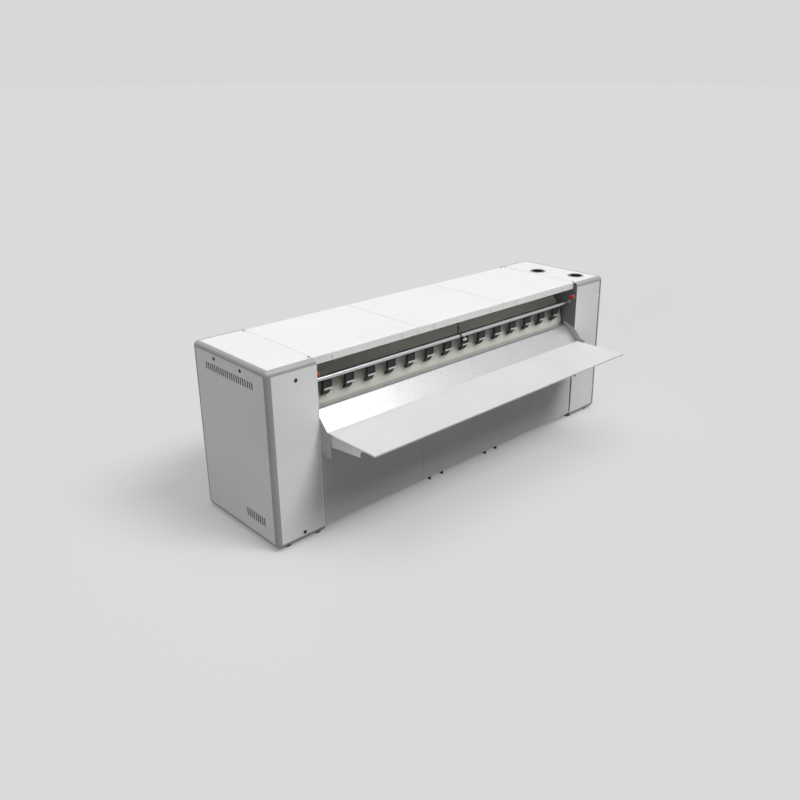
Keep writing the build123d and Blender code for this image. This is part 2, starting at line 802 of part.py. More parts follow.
def fan_case(x, y, motor_side):
    """A fan housing round (y + offset, fan_z), with its motor on one side and its inlet on the other."""
    cy, half = y + fan_offset, scroll_width / 2
    case = rod_x(x - half, x + half, cy, fan_z, scroll_radius)
    case += block(x - half, x + half, y - neck_width / 2, y + neck_width / 2, fan_z, neck_top)
    thin, w = half - scroll_sheet, neck_width / 2 - scroll_sheet
    hollow = rod_x(x - thin, x + thin, cy, fan_z, scroll_radius - scroll_sheet)
    hollow += block(x - thin, x + thin, y - w, y + w, fan_z, neck_top + 1)
    case -= hollow
    edge = x + motor_side * half
    end = edge + motor_side * fan_motor_length
    mouth = x - motor_side * 60
    case -= rod_x(min(x, mouth), max(x, mouth), cy, fan_z, inlet_radius)
    case += rod_x(min(edge, end), max(edge, end), cy, fan_z, fan_motor_radius)
    bore_end = end - motor_side * 8
    case -= rod_x(min(x, bore_end), max(x, bore_end), cy, fan_z, fan_shaft_radius + running_gap)
    return case


def impeller(x, y, motor_side):
    cy = y + fan_offset
    half = scroll_width / 2 - 12
    back = x + motor_side * half
    plate = back - motor_side * 3
    wheel = rod_x(min(back, plate), max(back, plate), cy, fan_z, impeller_radius)
    front = x - motor_side * half
    rim = front + motor_side * 3
    wheel += ring_x(min(front, rim), max(front, rim), cy, fan_z, inlet_radius + 6, impeller_radius)
    blade = Pos(x, cy + impeller_radius - 13, fan_z) * Rot(30, 0, 0) * Box(2 * half, 20, 2)
    for i in range(impeller_blades):
        turn = Pos(0, cy, fan_z) * Rot(360 * i / impeller_blades, 0, 0) * Pos(0, -cy, -fan_z)
        wheel += turn * blade
    tip = x + motor_side * (scroll_width / 2 + fan_motor_length - 10)
    near = x - motor_side * 10
    wheel += rod_x(min(near, back), max(near, back), cy, fan_z, 14)
    wheel += rod_x(min(x, tip), max(x, tip), cy, fan_z, fan_shaft_radius)
    return wheel


vapour_x, vapour_y = vapour_outlet
hood_x, hood_y = hood_outlet
vapour_case = fan_case(vapour_x, vapour_y, -1)
scroll_face = vapour_x - scroll_width / 2
for dy, dz in ((-68, -50), (68, -50), (68, 50), (-68, 50)):
    y, z = vapour_y + fan_offset + dy, fan_z + dz
    vapour_case += rod_x(frame_x, scroll_face, y, z, standoff_radius)
save("fan_cases", vapour_case, fan_case(hood_x, hood_y, 1))
save("vapour_fan_impeller", impeller(vapour_x, vapour_y, -1))
save("hood_fan_impeller", impeller(hood_x, hood_y, 1))

outlets = []
for x, y in (vapour_outlet, hood_outlet):
    pipe = rod_z(x, y, neck_top, machine_height, outlet_radius + outlet_wall)
    pipe += rod_z(x, y, panel_face, machine_height, outlet_rim_radius)
    half_x, half_y = scroll_width / 2, neck_width / 2
    pipe += block(x - half_x, x + half_x, y - half_y, y + half_y, neck_top, neck_top + 3)
    pipe -= rod_z(x, y, neck_top + 3, machine_height + 1, outlet_radius)
    pipe -= rod_z(x, y, neck_top - 1, neck_top + 4, scroll_width / 2 - 3)
    outlets.append(pipe)
save("exhaust_outlets", *outlets)

suction_x = vapour_x + scroll_width / 2
suction_y = (roll_y - 60, vapour_y + fan_offset + 62)
suction_z = (roll_height - 55, fan_z + 62)
suction = block(suction_x, suction_x + suction_depth, *suction_y, *suction_z)
w = scroll_sheet
hollow_y = (suction_y[0] + w, suction_y[1] - w)
hollow_z = (suction_z[0] + w, suction_z[1] - w)
suction -= block(suction_x + w, suction_x + suction_depth - w, *hollow_y, *hollow_z)
suction -= rod_x(suction_x - 1, suction_x + w + 1, vapour_y + fan_offset, fan_z, inlet_radius)
suction -= rod_x(suction_x - 1, suction_x + w + 1, roll_y, roll_height, journal_radius + 0.6)

duct_end = hood_x - scroll_width / 2
duct_step = duct_end - 30
hood_cy = hood_y + fan_offset
duct_y0, duct_y1 = hood_cy - 58, hood_cy + 58
duct_front = bar_y + bar_pin_radius + pin_to_duct
duct_z0, duct_z1 = fan_z - 55, fan_z + 58
duct = block(frame_x, duct_step, duct_front, port_y1 + 5, duct_z0, port_top + 5)
duct += block(duct_step - w, duct_end, duct_y0, duct_y1, duct_z0, duct_z1)
duct -= block(frame_x + w, duct_step - w, duct_front + w, port_y1 + 5 - w, duct_z0 + w, port_top + 5 - w)
duct -= block(duct_step - w - 1, duct_end - w, duct_y0 + w, duct_y1 - w, duct_z0 + w, duct_z1 - w)
duct -= block(frame_x - 1, frame_x + w + 1, *hood_port)
duct -= rod_x(duct_end - w - 1, duct_end + 1, hood_cy, fan_z, inlet_radius)
save("suction_ducts", suction, duct)


# ---------- electrical box and controls ----------
box_x = (-(half_length - 30), -(frame_x + gear_x + 37))
box_y = (480, back_y - 55)
box_top = 600
electrics = block(*box_x, *box_y, rail_top, box_top)
electrics -= block(box_x[0] + 2, box_x[1] - 2, box_y[0] + 2, box_y[1] - 2, rail_top + 2, box_top - 2)
save("electrical_box", electrics)

contact_depth = 30


def stop_collar_part():
    """The E-stop collar on the right inner wall, and its contact block behind the frame."""
    collar = rod_x(wall_x - stop_collar, wall_x, stop_y, stop_z, stop_collar_radius)
    collar -= rod_x(wall_x - stop_collar - 1, wall_x + 1, stop_y, stop_z, stop_stem_radius + running_gap)
    contact = block(frame_x, frame_x + contact_depth, stop_y - 20, stop_y + 20, stop_z - 20, stop_z + 20)
    contact -= rod_x(frame_x - 1, frame_x + contact_depth - 3, stop_y, stop_z, 14)
    return [collar, contact]


def stop_button():
    face = wall_x - stop_collar - stop_travel - 1
    button = rod_x(face - stop_head, face, stop_y, stop_z, stop_head_radius)
    button = fillet(button.edges().sort_by(Axis.X)[0], 5)
    button += rod_x(face, frame_x + 12, stop_y, stop_z, stop_stem_radius)
    button += rod_x(frame_x + 8, frame_x + 12, stop_y, stop_z, 12)
    return button


collars = stop_collar_part()
collars += [mirrored(piece) for piece in collars]
station_face = back_y + 60
station_half = (120, 80)
wall = 4
x0, x1 = station_x - station_half[0], station_x + station_half[0]
z0, z1 = station_z - station_half[1], station_z + station_half[1]
housing = block(x0, x1, back_y - panel_inset, station_face, z0, z1)
housing = fillet(housing.edges().filter_by(Axis.Y), 10)
housing -= block(x0 + wall, x1 - wall, back_y - panel_inset - 1, station_face - wall, z0 + wall, z1 - wall)
feed_stop_x = station_x - 70
collar_face = station_face + stop_collar
stem_bore = stop_stem_radius + running_gap
housing += rod_y(feed_stop_x, station_face - wall, collar_face, station_z, stop_collar_radius)
housing -= rod_y(feed_stop_x, station_face - wall - 1, collar_face + 1, station_z, stem_bore)
for i, z in enumerate((-35, 0, 35)):
    housing += rod_y(station_x + 30, station_face, station_face + 7, station_z + z, 12)
x0, x1 = station_x - 20, station_x + 8
housing += block(x0, x1, station_face, station_face + 2, station_z - 45, station_z + 45)
save("control_stations", *collars, housing)

face = station_face + stop_collar + stop_travel + 1
feed_stop = rod_y(feed_stop_x, face, face + stop_head, station_z, stop_head_radius)
feed_stop = fillet(feed_stop.edges().sort_by(Axis.Y)[-1], 5)
feed_stop += rod_y(feed_stop_x, station_face - 20, face, station_z, stop_stem_radius)
feed_stop += rod_y(feed_stop_x, station_face - 20, station_face - 16, station_z, 12)
save("e_stop_right", stop_button())
save("e_stop_left", mirrored(stop_button()))
save("e_stop_feed", feed_stop)


# ---------- feed side ----------
belt_outer = feed_roller_radius + belt_slack + belt_thickness
idler_reach = roll_radius + belt_to_roll + belt_outer
idler_y = roll_y + math.sqrt(idler_reach ** 2 - feed_roller_above ** 2)
drive_y = feed_end_y - 50
belt_inner = feed_roller_radius + belt_slack
cheek_x = wall_x - feed_cheek
belt_room = 2 * (cheek_x - belt_end_gap) - belt_width
belt_count = 1 + int(belt_room // belt_pitch)
belts = []
for i in range(belt_count):
    x = (i - (belt_count - 1) / 2) * belt_pitch
    x0, x1 = x - belt_width / 2, x + belt_width / 2
    loops = []
    for radius, spare in ((belt_outer, 0), (belt_inner, 1)):
        loop = rod_x(x0 - spare, x1 + spare, idler_y, feed_roller_z, radius)
        loop += rod_x(x0 - spare, x1 + spare, drive_y, feed_roller_z, radius)
        z0, z1 = feed_roller_z - radius, feed_roller_z + radius
        loop += block(x0 - spare, x1 + spare, idler_y, drive_y, z0, z1)
        loops.append(loop)
    belts.append(loops[0] - loops[1])
save("feed_belts", *belts)

for name, y in (("feed_idler_roller", idler_y), ("feed_drive_roller", drive_y)):
    roller = rod_x(-cheek_x + 4, cheek_x - 4, y, feed_roller_z, feed_roller_radius)
    roller += rod_x(-wall_x + 1, wall_x - 1, y, feed_roller_z, feed_journal_radius)
    save(name, roller)

cheek_z = feed_roller_z - 45
cheek = block(cheek_x, wall_x, idler_y - 20, feed_end_y, cheek_z, cheek_z + 80)
for y in (idler_y, drive_y):
    cheek -= rod_x(cheek_x - 1, wall_x + 1, y, feed_roller_z, feed_journal_radius + running_gap)
table_top = feed_roller_z + belt_inner - seat_gap
table = block(-cheek_x, cheek_x, idler_y + 36, drive_y - 36, table_top - table_sheet, table_top)
pan = block(-cheek_x, cheek_x, idler_y + 36, feed_end_y - table_sheet, cheek_z, cheek_z + table_sheet)
apron = block(-cheek_x, cheek_x, feed_end_y - table_sheet, feed_end_y, cheek_z - 30, cheek_z + 70)
save("feed_table", cheek, mirrored(cheek), table, pan, apron)

flap_bottom = feed_roller_z + belt_outer + guard_slot
y0, y1 = guard_y - guard_sheet / 2, guard_y + guard_sheet / 2
flap = block(-wall_x + 20, wall_x - 20, y0, y1, flap_bottom, guard_shaft_z)
flap += rod_x(-wall_x + 1, wall_x - 1, guard_y, guard_shaft_z, guard_shaft_radius)
save("finger_guard", flap)


# ---------- delivery side ----------
tube_y = roll_front_gap - tube_forward
tube_z = roll_height + tube_above
straight = wall_x - 3 - tube_taper
wide, flat = tube_end
guard_tube = ring_x(-straight, straight, tube_y, tube_z, tube_radius - tube_wall, tube_radius)
wide_end = Plane(origin=(straight, tube_y, tube_z), x_dir=(0, 1, 0), z_dir=(1, 0, 0)) * Circle(tube_radius)
flat_end = Plane(origin=(wall_x - 3, tube_y, tube_z), x_dir=(0, 0, 1), z_dir=(1, 0, 0)) * Ellipse(wide, flat)
taper = loft([wide_end, flat_end])
taper += block(wall_x - 3, wall_x, tube_y - 12, tube_y + 12, tube_z - 20, tube_z + 20)
save("guard_tube", guard_tube + taper + mirrored(taper))

strap_y = tie_y + tie_size
hanger = block(-6, 6, strap_y, strap_y + 4, tube_z, machine_height - 10)
hanger += ring_x(-6, 6, tube_y, tube_z, tube_radius + seat_gap, tube_radius + 4)
hanger -= rod_x(-7, 7, tube_y, tube_z, tube_radius + seat_gap)
save("centre_hanger", hanger)

bar_end = wall_x - 3
bar_section = (bar_y - bar_size / 2, bar_y + bar_size / 2, bar_z - bar_size / 2, bar_z + bar_size / 2)
bar = tube_along_x(-bar_end, bar_end, *bar_section, bar_wall)
for x0, x1 in ((-bar_end, -bar_end + 6), (bar_end - 6, bar_end)):
    bar += block(x0, x1, *bar_section)
bar += rod_x(bar_end - 1, frame_x + 6, bar_y, bar_z, bar_pin_radius)
bar += rod_x(-frame_x - 6, -bar_end + 1, bar_y, bar_z, bar_pin_radius)
save("stripper_bar", bar)

stripper_z1 = bar_z - bar_size / 2
stripper_z0 = stripper_z1 - stripper_height
shoe_radius = roll_radius + shoe_gap


def beside_roll(z):
    return roll_y - math.sqrt(shoe_radius ** 2 - (z - roll_height) ** 2)


front_y, rear_y = stripper_y
shoe_line = [(front_y + 3, stripper_z0), (front_y + 17, stripper_z0)]
for above in (44, 38, 32):
    shoe_line.append((beside_roll(roll_height + above), roll_height + above))
shoe_line.append((front_y + 30, roll_height + 50))
blocks = []
clips = []
shoes = []
for i in range(stripper_count):
    x = (i - (stripper_count - 1) / 2) * stripper_pitch
    body = block(x - stripper_width / 2, x + stripper_width / 2, front_y, rear_y, stripper_z0, stripper_z1)
    body -= block(x - 20, x + 20, front_y - 1, front_y + 6, stripper_z0 + 22, stripper_z1 - 12)
    blocks.append(body)
    clip_width, clip_depth, clip_height = clip_size
    x0, x1 = x + clip_shift - clip_width / 2, x + clip_shift + clip_width / 2
    clips.append(block(x0, x1, front_y - clip_depth, front_y, stripper_z0, stripper_z0 + clip_height))
    shoes.append(prism_x(shoe_line, x - shoe_width / 2, x + shoe_width / 2))
save("stripper_blocks", *blocks)
save("stripper_clips", *clips)
save("stripper_shoes", *shoes)

arm_z = tube_z - 11
sensor_z = tube_z - 49
sensor = block(6, sensor_x + 5, strap_y, strap_y + 3, arm_z, arm_z + 10)
sensor += block(sensor_x - 5, sensor_x + 5, strap_y, strap_y + 3, sensor_z, arm_z + 10)
sensor += block(sensor_x - 12.5, sensor_x + 12.5, strap_y - 8, strap_y + 3, sensor_z - 10, sensor_z + 10)
lead_y = strap_y + 4 + lead_radius + seat_gap
lead_points = [(67, strap_y - 3, sensor_z + 10), (63, strap_y + 1, tube_z - 29), (55, lead_y, tube_z - 12),
               (44, lead_y, tube_z + 12), (22, lead_y, tube_z + 44), (6, lead_y, tube_z + 84),
               (0, lead_y, tube_z + 129), (0, lead_y, tube_z + 159)]
vectors = [Vector(*point) for point in lead_points]
radii = []
for before, at, after in zip(vectors, vectors[1:], vectors[2:]):
    turn = math.radians((at - before).get_angle(after - at))
    shorter = min((at - before).length, (after - at).length)
    radii.append(0.45 * shorter / math.tan(turn / 2))
print("lead radii", [round(radius) for radius in radii])
lead_path = FilletPolyline(*lead_points, radius=radii)
lead_start = Plane(origin=lead_path @ 0, z_dir=lead_path % 0)
save("roll_sensor", sensor, sweep(lead_start * Circle(lead_radius), path=lead_path))

# Chute: flat lip, bend, straight slope
slope = math.radians(chute_slope)
lip_z = roll_height - chute_below
lip_y0 = roll_front_gap - 3.5
bend_y = lip_y0 - chute_lip


def chute_line(offset):
    """The chute's (y, z) line, offset below its top surface."""
    radius = chute_bend + 10 - offset
    centre_z = lip_z - chute_bend - 10
    points = [(lip_y0, lip_z - offset)]
    for i in range(9):
        angle = slope * i / 8
        points.append((bend_y - radius * math.sin(angle), centre_z + radius * math.cos(angle)))
    y, z = points[-1]
    run = (y - chute_end_y) / math.cos(slope)
    points.append((chute_end_y, z - run * math.sin(slope)))
    return points


top_line = chute_line(0)
under_line = chute_line(chute_sheet)
chute_half = wall_x - cheek_plate - 0.5
save("chute", prism_x(top_line + under_line[::-1], -chute_half, chute_half))

cheek_line = [(120, 15), (96, 7), (48, -10), (-3, -38), (-40, -78), (-73, -113), (-112, -116), (-110, -295),
              (-40, -298), (-15, -277), (60, -277), (60, -90), (120, -40)]
cheek = prism_x([(y, roll_height + z) for y, z in cheek_line], wall_x - cheek_plate, wall_x)
cheek -= block(wall_x - cheek_plate - 1, wall_x + 1, -63.5, -58.5, shelf_top - 74, shelf_top - 40)
save("chute_cheeks", *both(cheek))

shelf_half = wall_x - shelf_side_gap
shelf = block(-shelf_half, shelf_half, shelf_front_y, shelf_back_y, shelf_top - shelf_edge, shelf_top)
shelf = fillet(shelf.edges().group_by(Axis.Z)[-1], 2)
inner = shelf_half - shelf_sheet
y0, y1 = shelf_front_y + shelf_sheet, shelf_back_y - shelf_sheet
shelf -= block(-inner, inner, y0, y1, shelf_top - shelf_edge - 1, shelf_top - shelf_sheet)
for x in (-460, 0, 460):
    shelf += tube_along_y(x - 20, x + 20, y0, y1, shelf_top - shelf_edge, shelf_top - shelf_sheet, 1.5)
save("delivery_shelf", shelf)

arm_x1 = wall_x - cheek_plate
arm_x0 = arm_x1 - arm_plate
arm_top = shelf_top - shelf_edge
arm_back = chute_end_y - 2
arm_line = [(arm_back, arm_top), (arm_back, shelf_top - 83),
            (arm_front, shelf_top - 46), (arm_front, arm_top)]
arm = prism_x(arm_line, arm_x0, arm_x1)
flange_x = arm_x1 - arm_flange - arm_plate
arm += block(flange_x, arm_x1, arm_front, shelf_back_y - 5, arm_top - arm_plate, arm_top)
for y, z in arm_screws:
    arm += rod_x(arm_x1, arm_x1 + 3, y, shelf_top + z, 6)
save("shelf_arms", *both(arm))
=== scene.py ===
import json
import math
import bmesh
import bpy
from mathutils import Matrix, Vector


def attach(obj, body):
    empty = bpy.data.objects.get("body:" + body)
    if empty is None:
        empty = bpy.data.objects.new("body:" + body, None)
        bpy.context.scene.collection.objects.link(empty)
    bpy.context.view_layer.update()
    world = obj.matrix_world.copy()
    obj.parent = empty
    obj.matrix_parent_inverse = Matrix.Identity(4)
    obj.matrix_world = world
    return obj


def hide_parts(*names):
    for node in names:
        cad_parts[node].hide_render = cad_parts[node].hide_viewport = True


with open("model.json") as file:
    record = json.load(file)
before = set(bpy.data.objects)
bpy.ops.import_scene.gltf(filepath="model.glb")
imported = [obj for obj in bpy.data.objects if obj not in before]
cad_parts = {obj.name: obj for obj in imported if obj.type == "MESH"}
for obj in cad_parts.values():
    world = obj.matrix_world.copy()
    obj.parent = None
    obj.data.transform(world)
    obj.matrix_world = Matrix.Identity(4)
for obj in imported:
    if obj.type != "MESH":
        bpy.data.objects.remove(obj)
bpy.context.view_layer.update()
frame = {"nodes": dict(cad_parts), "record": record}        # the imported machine: bodies, nodes, joints and the record

# Flatwork ironer. The frame is in metres, with +x towards the suction cabinet, +y towards the feed side
# and +z up. Sizes in the dictionaries are in millimetres.
mm = 0.001
picture = 800            # the photograph is this many pixels each way


def hexColour(code):     # an sRGB hex value as linear light
    parts = [int(code[i:i + 2], 16) / 255 for i in (0, 2, 4)]
    linear = [part / 12.92 if part <= 0.04045 else ((part + 0.055) / 1.055) ** 2.4 for part in parts]
    return (*linear, 1)


def addNode(tree, kind, settings, links=()):
    # settings go to sockets or to the node itself; a link comes from a node's first output or from a socket
    node = tree.nodes.new("ShaderNode" + kind)
    for key, value in settings.items():
        if isinstance(key, int) or key in node.inputs:
            node.inputs[key].default_value = value
        else:
            setattr(node, key, value)
    for key, source in dict(links).items():
        socket = source.outputs[0] if isinstance(source, bpy.types.Node) else source
        tree.links.new(socket, node.inputs[key])
    return node


def emptyMaterial(name):     # a material with no shader yet, and Object coordinates for its patterns
    material = bpy.data.materials.new(name)
    material.use_nodes = True
    tree = material.node_tree
    tree.nodes.clear()
    return material, tree, addNode(tree, "TexCoord", {}).outputs["Object"]


def everyMm(size):       # texture scale for a pattern that repeats about every so many millimetres
    return 1000 / size


def between(low, high, start=0.3, end=0.7):      # settings that turn a value from start..end into low..high
    return {"From Min": start, "From Max": end, "To Min": low, "To Max": high}


def twoTones(first, second):                     # settings that mix two colours
    return {"data_type": "RGBA", 6: hexColour(first), 7: hexColour(second)}


def tinted(tree, pattern, first, second, start=0.3, end=0.7):    # from one colour to the other by a pattern
    share = addNode(tree, "MapRange", between(0, 1, start, end), {"Value": pattern})
    return addNode(tree, "Mix", twoTones(first, second), {0: share}).outputs[2]


def surfaced(material, light, colour, relief, settings, gloss=None):
    # closes a material with its shader; relief is a pattern, the bump's strength and its height in mm
    tree = material.node_tree
    pattern, strength, height = relief
    bump = addNode(tree, "Bump", {"Strength": strength, "Distance": height * mm}, {"Height": pattern})
    links = {"Base Color": colour, "Normal": bump}
    if gloss:
        links["Roughness"] = gloss
    shader = addNode(tree, "BsdfPrincipled", {"Base Color": hexColour(light), **settings}, links)
    addNode(tree, "OutputMaterial", {}, {"Surface": shader})
    return material


def powderCoat(name, light, dark, roughness):
    # Polyester powder coat, sprayed and baked: a faint orange peel in the gloss and almost one colour.
    # The real peel is 1 to 2 mm across, drawn at 4 mm so that it shows.
    material, tree, coords = emptyMaterial(name)
    cloud = addNode(tree, "TexNoise", {"Scale": everyMm(420), "Detail": 3}, {"Vector": coords})
    colour = tinted(tree, cloud, light, dark)
    upright = addNode(tree, "Mapping", {"Scale": (1, 1, 0.35)}, {"Vector": coords})
    wiped = addNode(tree, "TexNoise", {"Scale": everyMm(90), "Detail": 4}, {"Vector": upright})
    gloss = addNode(tree, "MapRange", between(roughness - 0.05, roughness + 0.07), {"Value": wiped})
    peel = addNode(tree, "TexNoise", {"Scale": everyMm(4), "Detail": 1}, {"Vector": coords})
    return surfaced(material, light, colour, (peel, 0.35, 0.05), {"IOR": 1.5}, gloss)


def brushedSteel(name, light, dark, roughness, grain, relief=0.3, uneven=1, metallic=1):
    # Stainless sheet, ground with a belt: fine lines run one way and draw the light out across them.
    # A polished piece has the same lines, with little relief left.
    # The lines are 0.1 mm apart on the sheet, drawn at about 1.5 mm.
    material, tree, coords = emptyMaterial(name)
    drawn = addNode(tree, "Mapping", {"Scale": grain}, {"Vector": coords})
    ground = {"Scale": everyMm(1.5), "Detail": 3, "Roughness": 0.7}
    lines = addNode(tree, "TexNoise", ground, {"Vector": drawn})
    cloud = addNode(tree, "TexNoise", {"Scale": everyMm(300), "Detail": 3}, {"Vector": coords})
    both = addNode(tree, "Math", {"operation": "MULTIPLY_ADD", 1: 0.35}, {0: lines, 2: cloud})
    colour = tinted(tree, both, light, dark, 0.45, 0.9)
    spread = between(roughness - 0.05 * uneven, roughness + 0.08 * uneven)
    gloss = addNode(tree, "MapRange", spread, {"Value": lines})
    return surfaced(material, light, colour, (lines, relief, 0.03), {"Metallic": metallic}, gloss)


def machinedSteel(name, light, dark, roughness):
    # Turned and ground steel with a film of oil: tight cross marks, darker where it has been handled.
    # The marks are 0.2 mm apart on the steel, drawn at 1.2 mm.
    material, tree, coords = emptyMaterial(name)
    smear = addNode(tree, "TexNoise", {"Scale": everyMm(60), "Detail": 4}, {"Vector": coords})
    colour = tinted(tree, smear, light, dark)
    turned = addNode(tree, "Mapping", {"Scale": (1, 0.12, 0.12)}, {"Vector": coords})
    marks = addNode(tree, "TexNoise", {"Scale": everyMm(1.2), "Detail": 2}, {"Vector": turned})
    gloss = addNode(tree, "MapRange", between(roughness - 0.06, roughness + 0.08), {"Value": marks})
    return surfaced(material, light, colour, (marks, 0.35, 0.03), {"Metallic": 1}, gloss)


def zincPlate(name, light, dark, roughness):
    # Galvanised sheet: frosted crystals about 12 mm across, each with its own grey.
    material, tree, coords = emptyMaterial(name)
    crystals = addNode(tree, "TexVoronoi", {"Scale": everyMm(12)}, {"Vector": coords})
    shade = addNode(tree, "SeparateColor", {}, {0: crystals.outputs["Color"]})
    colour = addNode(tree, "Mix", twoTones(light, dark), {0: shade}).outputs[2]
    gloss = addNode(tree, "MapRange", between(roughness - 0.08, roughness + 0.1, 0, 1), {"Value": shade})
    frost = addNode(tree, "TexNoise", {"Scale": everyMm(5), "Detail": 3}, {"Vector": coords})
    return surfaced(material, light, colour, (frost, 0.3, 0.04), {"Metallic": 1}, gloss)


def castEnamel(name, light, dark, roughness):
    # Sand-cast iron under machine enamel: a lumpy skin 3 to 6 mm across shows through the paint.
    material, tree, coords = emptyMaterial(name)
    sand = {"Scale": everyMm(5), "Detail": 4, "Roughness": 0.6}
    lumps = addNode(tree, "TexNoise", sand, {"Vector": coords})
    colour = tinted(tree, lumps, dark, light)
    gloss = addNode(tree, "MapRange", between(roughness + 0.1, roughness - 0.05), {"Value": lumps})
    return surfaced(material, light, colour, (lumps, 0.5, 0.4), {"IOR": 1.5}, gloss)


def castAluminium(name, light, dark, roughness):
    # Die-cast aluminium: bright grey with a soft mottle about 8 mm across from the die.
    material, tree, coords = emptyMaterial(name)
    mottle = addNode(tree, "TexNoise", {"Scale": everyMm(8), "Detail": 4}, {"Vector": coords})
    colour = tinted(tree, mottle, light, dark)
    gloss = addNode(tree, "MapRange", between(roughness - 0.06, roughness + 0.08), {"Value": mottle})
    return surfaced(material, light, colour, (mottle, 0.4, 0.08), {"Metallic": 1}, gloss)


def mouldedPlastic(name, light, dark, roughness):
    # Moulded plastic with the fine spark-eroded grain of its tool, about 1 mm, drawn at 2.
    material, tree, coords = emptyMaterial(name)
    cloud = addNode(tree, "TexNoise", {"Scale": everyMm(40), "Detail": 3}, {"Vector": coords})
    colour = tinted(tree, cloud, light, dark)
    grain = addNode(tree, "TexNoise", {"Scale": everyMm(2), "Detail": 2}, {"Vector": coords})
    gloss = addNode(tree, "MapRange", between(roughness - 0.06, roughness + 0.08), {"Value": grain})
    return surfaced(material, light, colour, (grain, 0.35, 0.05), {"IOR": 1.46}, gloss)


def rollCloth(name, light, dark):
    # Needled polyester felt over the springs: matt, cream, fibrous, a little scorched in long bands.
    # The fibres lie in tufts about 3 mm across.
    material, tree, coords = emptyMaterial(name)
    combed = addNode(tree, "Mapping", {"Scale": (0.4, 1, 1)}, {"Vector": coords})
    tufts = {"Scale": everyMm(3), "Detail": 4, "Roughness": 0.7}
    fibres = addNode(tree, "TexNoise", tufts, {"Vector": combed})
    stretched = addNode(tree, "Mapping", {"Scale": (0.08, 1, 1)}, {"Vector": coords})
    bands = addNode(tree, "TexNoise", {"Scale": everyMm(60), "Detail": 3}, {"Vector": stretched})
    both = addNode(tree, "Math", {"operation": "MULTIPLY_ADD", 1: 0.4}, {0: fibres, 2: bands})
    colour = tinted(tree, both, light, dark, 0.5, 0.95)
    nap = {"Roughness": 0.92, "Sheen Weight": 0.25, "Sheen Roughness": 0.5}
    return surfaced(material, light, colour, (fibres, 0.6, 0.6), nap)


def webbing(name, light, dark):
    # Woven polyester feed belt: threads go over and under each other, with a dull worn face.
    # The threads are 1 mm wide, drawn at 3 mm.
    material, tree, coords = emptyMaterial(name)
    pitch = {"wave_type": "BANDS", "Scale": everyMm(3) / 20, "Distortion": 0.4}
    across = addNode(tree, "TexWave", {**pitch, "bands_direction": "X"}, {"Vector": coords})
    along = addNode(tree, "TexWave", {**pitch, "bands_direction": "Y"}, {"Vector": coords})
    threads = addNode(tree, "Math", {"operation": "MAXIMUM"}, {0: across.outputs[1], 1: along.outputs[1]})
    drawn = addNode(tree, "Mapping", {"Scale": (1, 0.2, 1)}, {"Vector": coords})
    soil = addNode(tree, "TexNoise", {"Scale": everyMm(30), "Detail": 3}, {"Vector": drawn})
    both = addNode(tree, "Math", {"operation": "MULTIPLY_ADD", 1: -0.3}, {0: threads, 2: soil})
    colour = tinted(tree, both, light, dark, 0.05, 0.6)
    return surfaced(material, light, colour, (threads, 0.6, 0.4), {"Roughness": 0.85, "Sheen Weight": 0.15})


def mineralWool(name, light, dark):
    # Pressed mineral wool: tangled brown and yellow fibres in 4 mm tufts, no gloss.
    material, tree, coords = emptyMaterial(name)
    matted = addNode(tree, "Mapping", {"Scale": (0.3, 1, 1)}, {"Vector": coords})
    tufts = {"Scale": everyMm(4), "Detail": 6, "Roughness": 0.8}
    fibres = addNode(tree, "TexNoise", tufts, {"Vector": matted})
    colour = tinted(tree, fibres, dark, light)
    return surfaced(material, light, colour, (fibres, 0.8, 1.5), {"Roughness": 1})


finishes = {
    "cabinet_paint": powderCoat("cabinetPowderCoat", "F3F3F2", "EFEFEE", 0.42),
    "hood_paint": powderCoat("hoodPowderCoat", "F4F4F3", "F0F0EF", 0.42),
    "moulding_grey": powderCoat("mouldingPowderCoat", "A8A8A8", "A2A2A2", 0.4),
    # lower panels: the cabinets' white made darker, as painted shade for the shelf's shadow over them
    "lower_paint": powderCoat("lowerCoatPaintedShade", "DADAD9", "D5D5D4", 0.45),
    "shelf_paint": powderCoat("shelfPowderCoat", "DEDEDD", "DADAD9", 0.5),
    "frame_paint": powderCoat("framePowderCoat", "68696B", "606163", 0.5),
    # black paint is the centre hanger's own colour; on the fork lips it is painted shade, and on the stripper bar it is
    # partly painted shade for the dark line above the tube
    "black_paint": powderCoat("blackCoatAndPaintedShade", "1E1E20", "18181A", 0.5),
    "tube_steel": brushedSteel("polishedTube", "C6C7C8", "BFC0C1", 0.3, (1, 0.1, 0.1), 0.03, 0.25),
    "chute_steel": brushedSteel("polishedChute", "C8C9CA", "C4C5C6", 0.28, (0.03, 1, 1), 0.04, 0.25, 0.72),
    "stainless": brushedSteel("brushedStainless", "D2D4D5", "C4C6C7", 0.42, (0.03, 1, 1)),
    "bright_steel": machinedSteel("turnedSteel", "B8B9BA", "9A9B9C", 0.3),
    "zinc_steel": zincPlate("galvanisedSheet", "A9ACAE", "8F9294", 0.42),
    "bed_steel": brushedSteel("polishedBedSteel", "C6C8CB", "B2B4B8", 0.2, (1, 0.03, 0.03)),
    "cast_paint": castEnamel("castIronEnamel", "66717C", "58626C", 0.45),
    "clothing": rollCloth("needledFelt", "E4E4DA", "D8D8CC"),
    "insulation_wool": mineralWool("mineralWool", "C8B070", "8E7A48"),
    "feed_belt": webbing("beltWebbing", "ECE7DA", "D5CFBF"),
    "aluminium": castAluminium("castAluminium", "CDCECF", "B4B5B6", 0.4),
    "black_plastic": mouldedPlastic("blackPolyamide", "2A2A2C", "202022", 0.5),
    "white_plastic": mouldedPlastic("whitePolyamide", "EDEDEB", "E4E4E2", 0.45),
    "grey_plastic": mouldedPlastic("greyPolycarbonate", "9A9B9D", "8E8F91", 0.45),
    "red_plastic": mouldedPlastic("redPolycarbonate", "CC4024", "C0361C", 0.36),
}

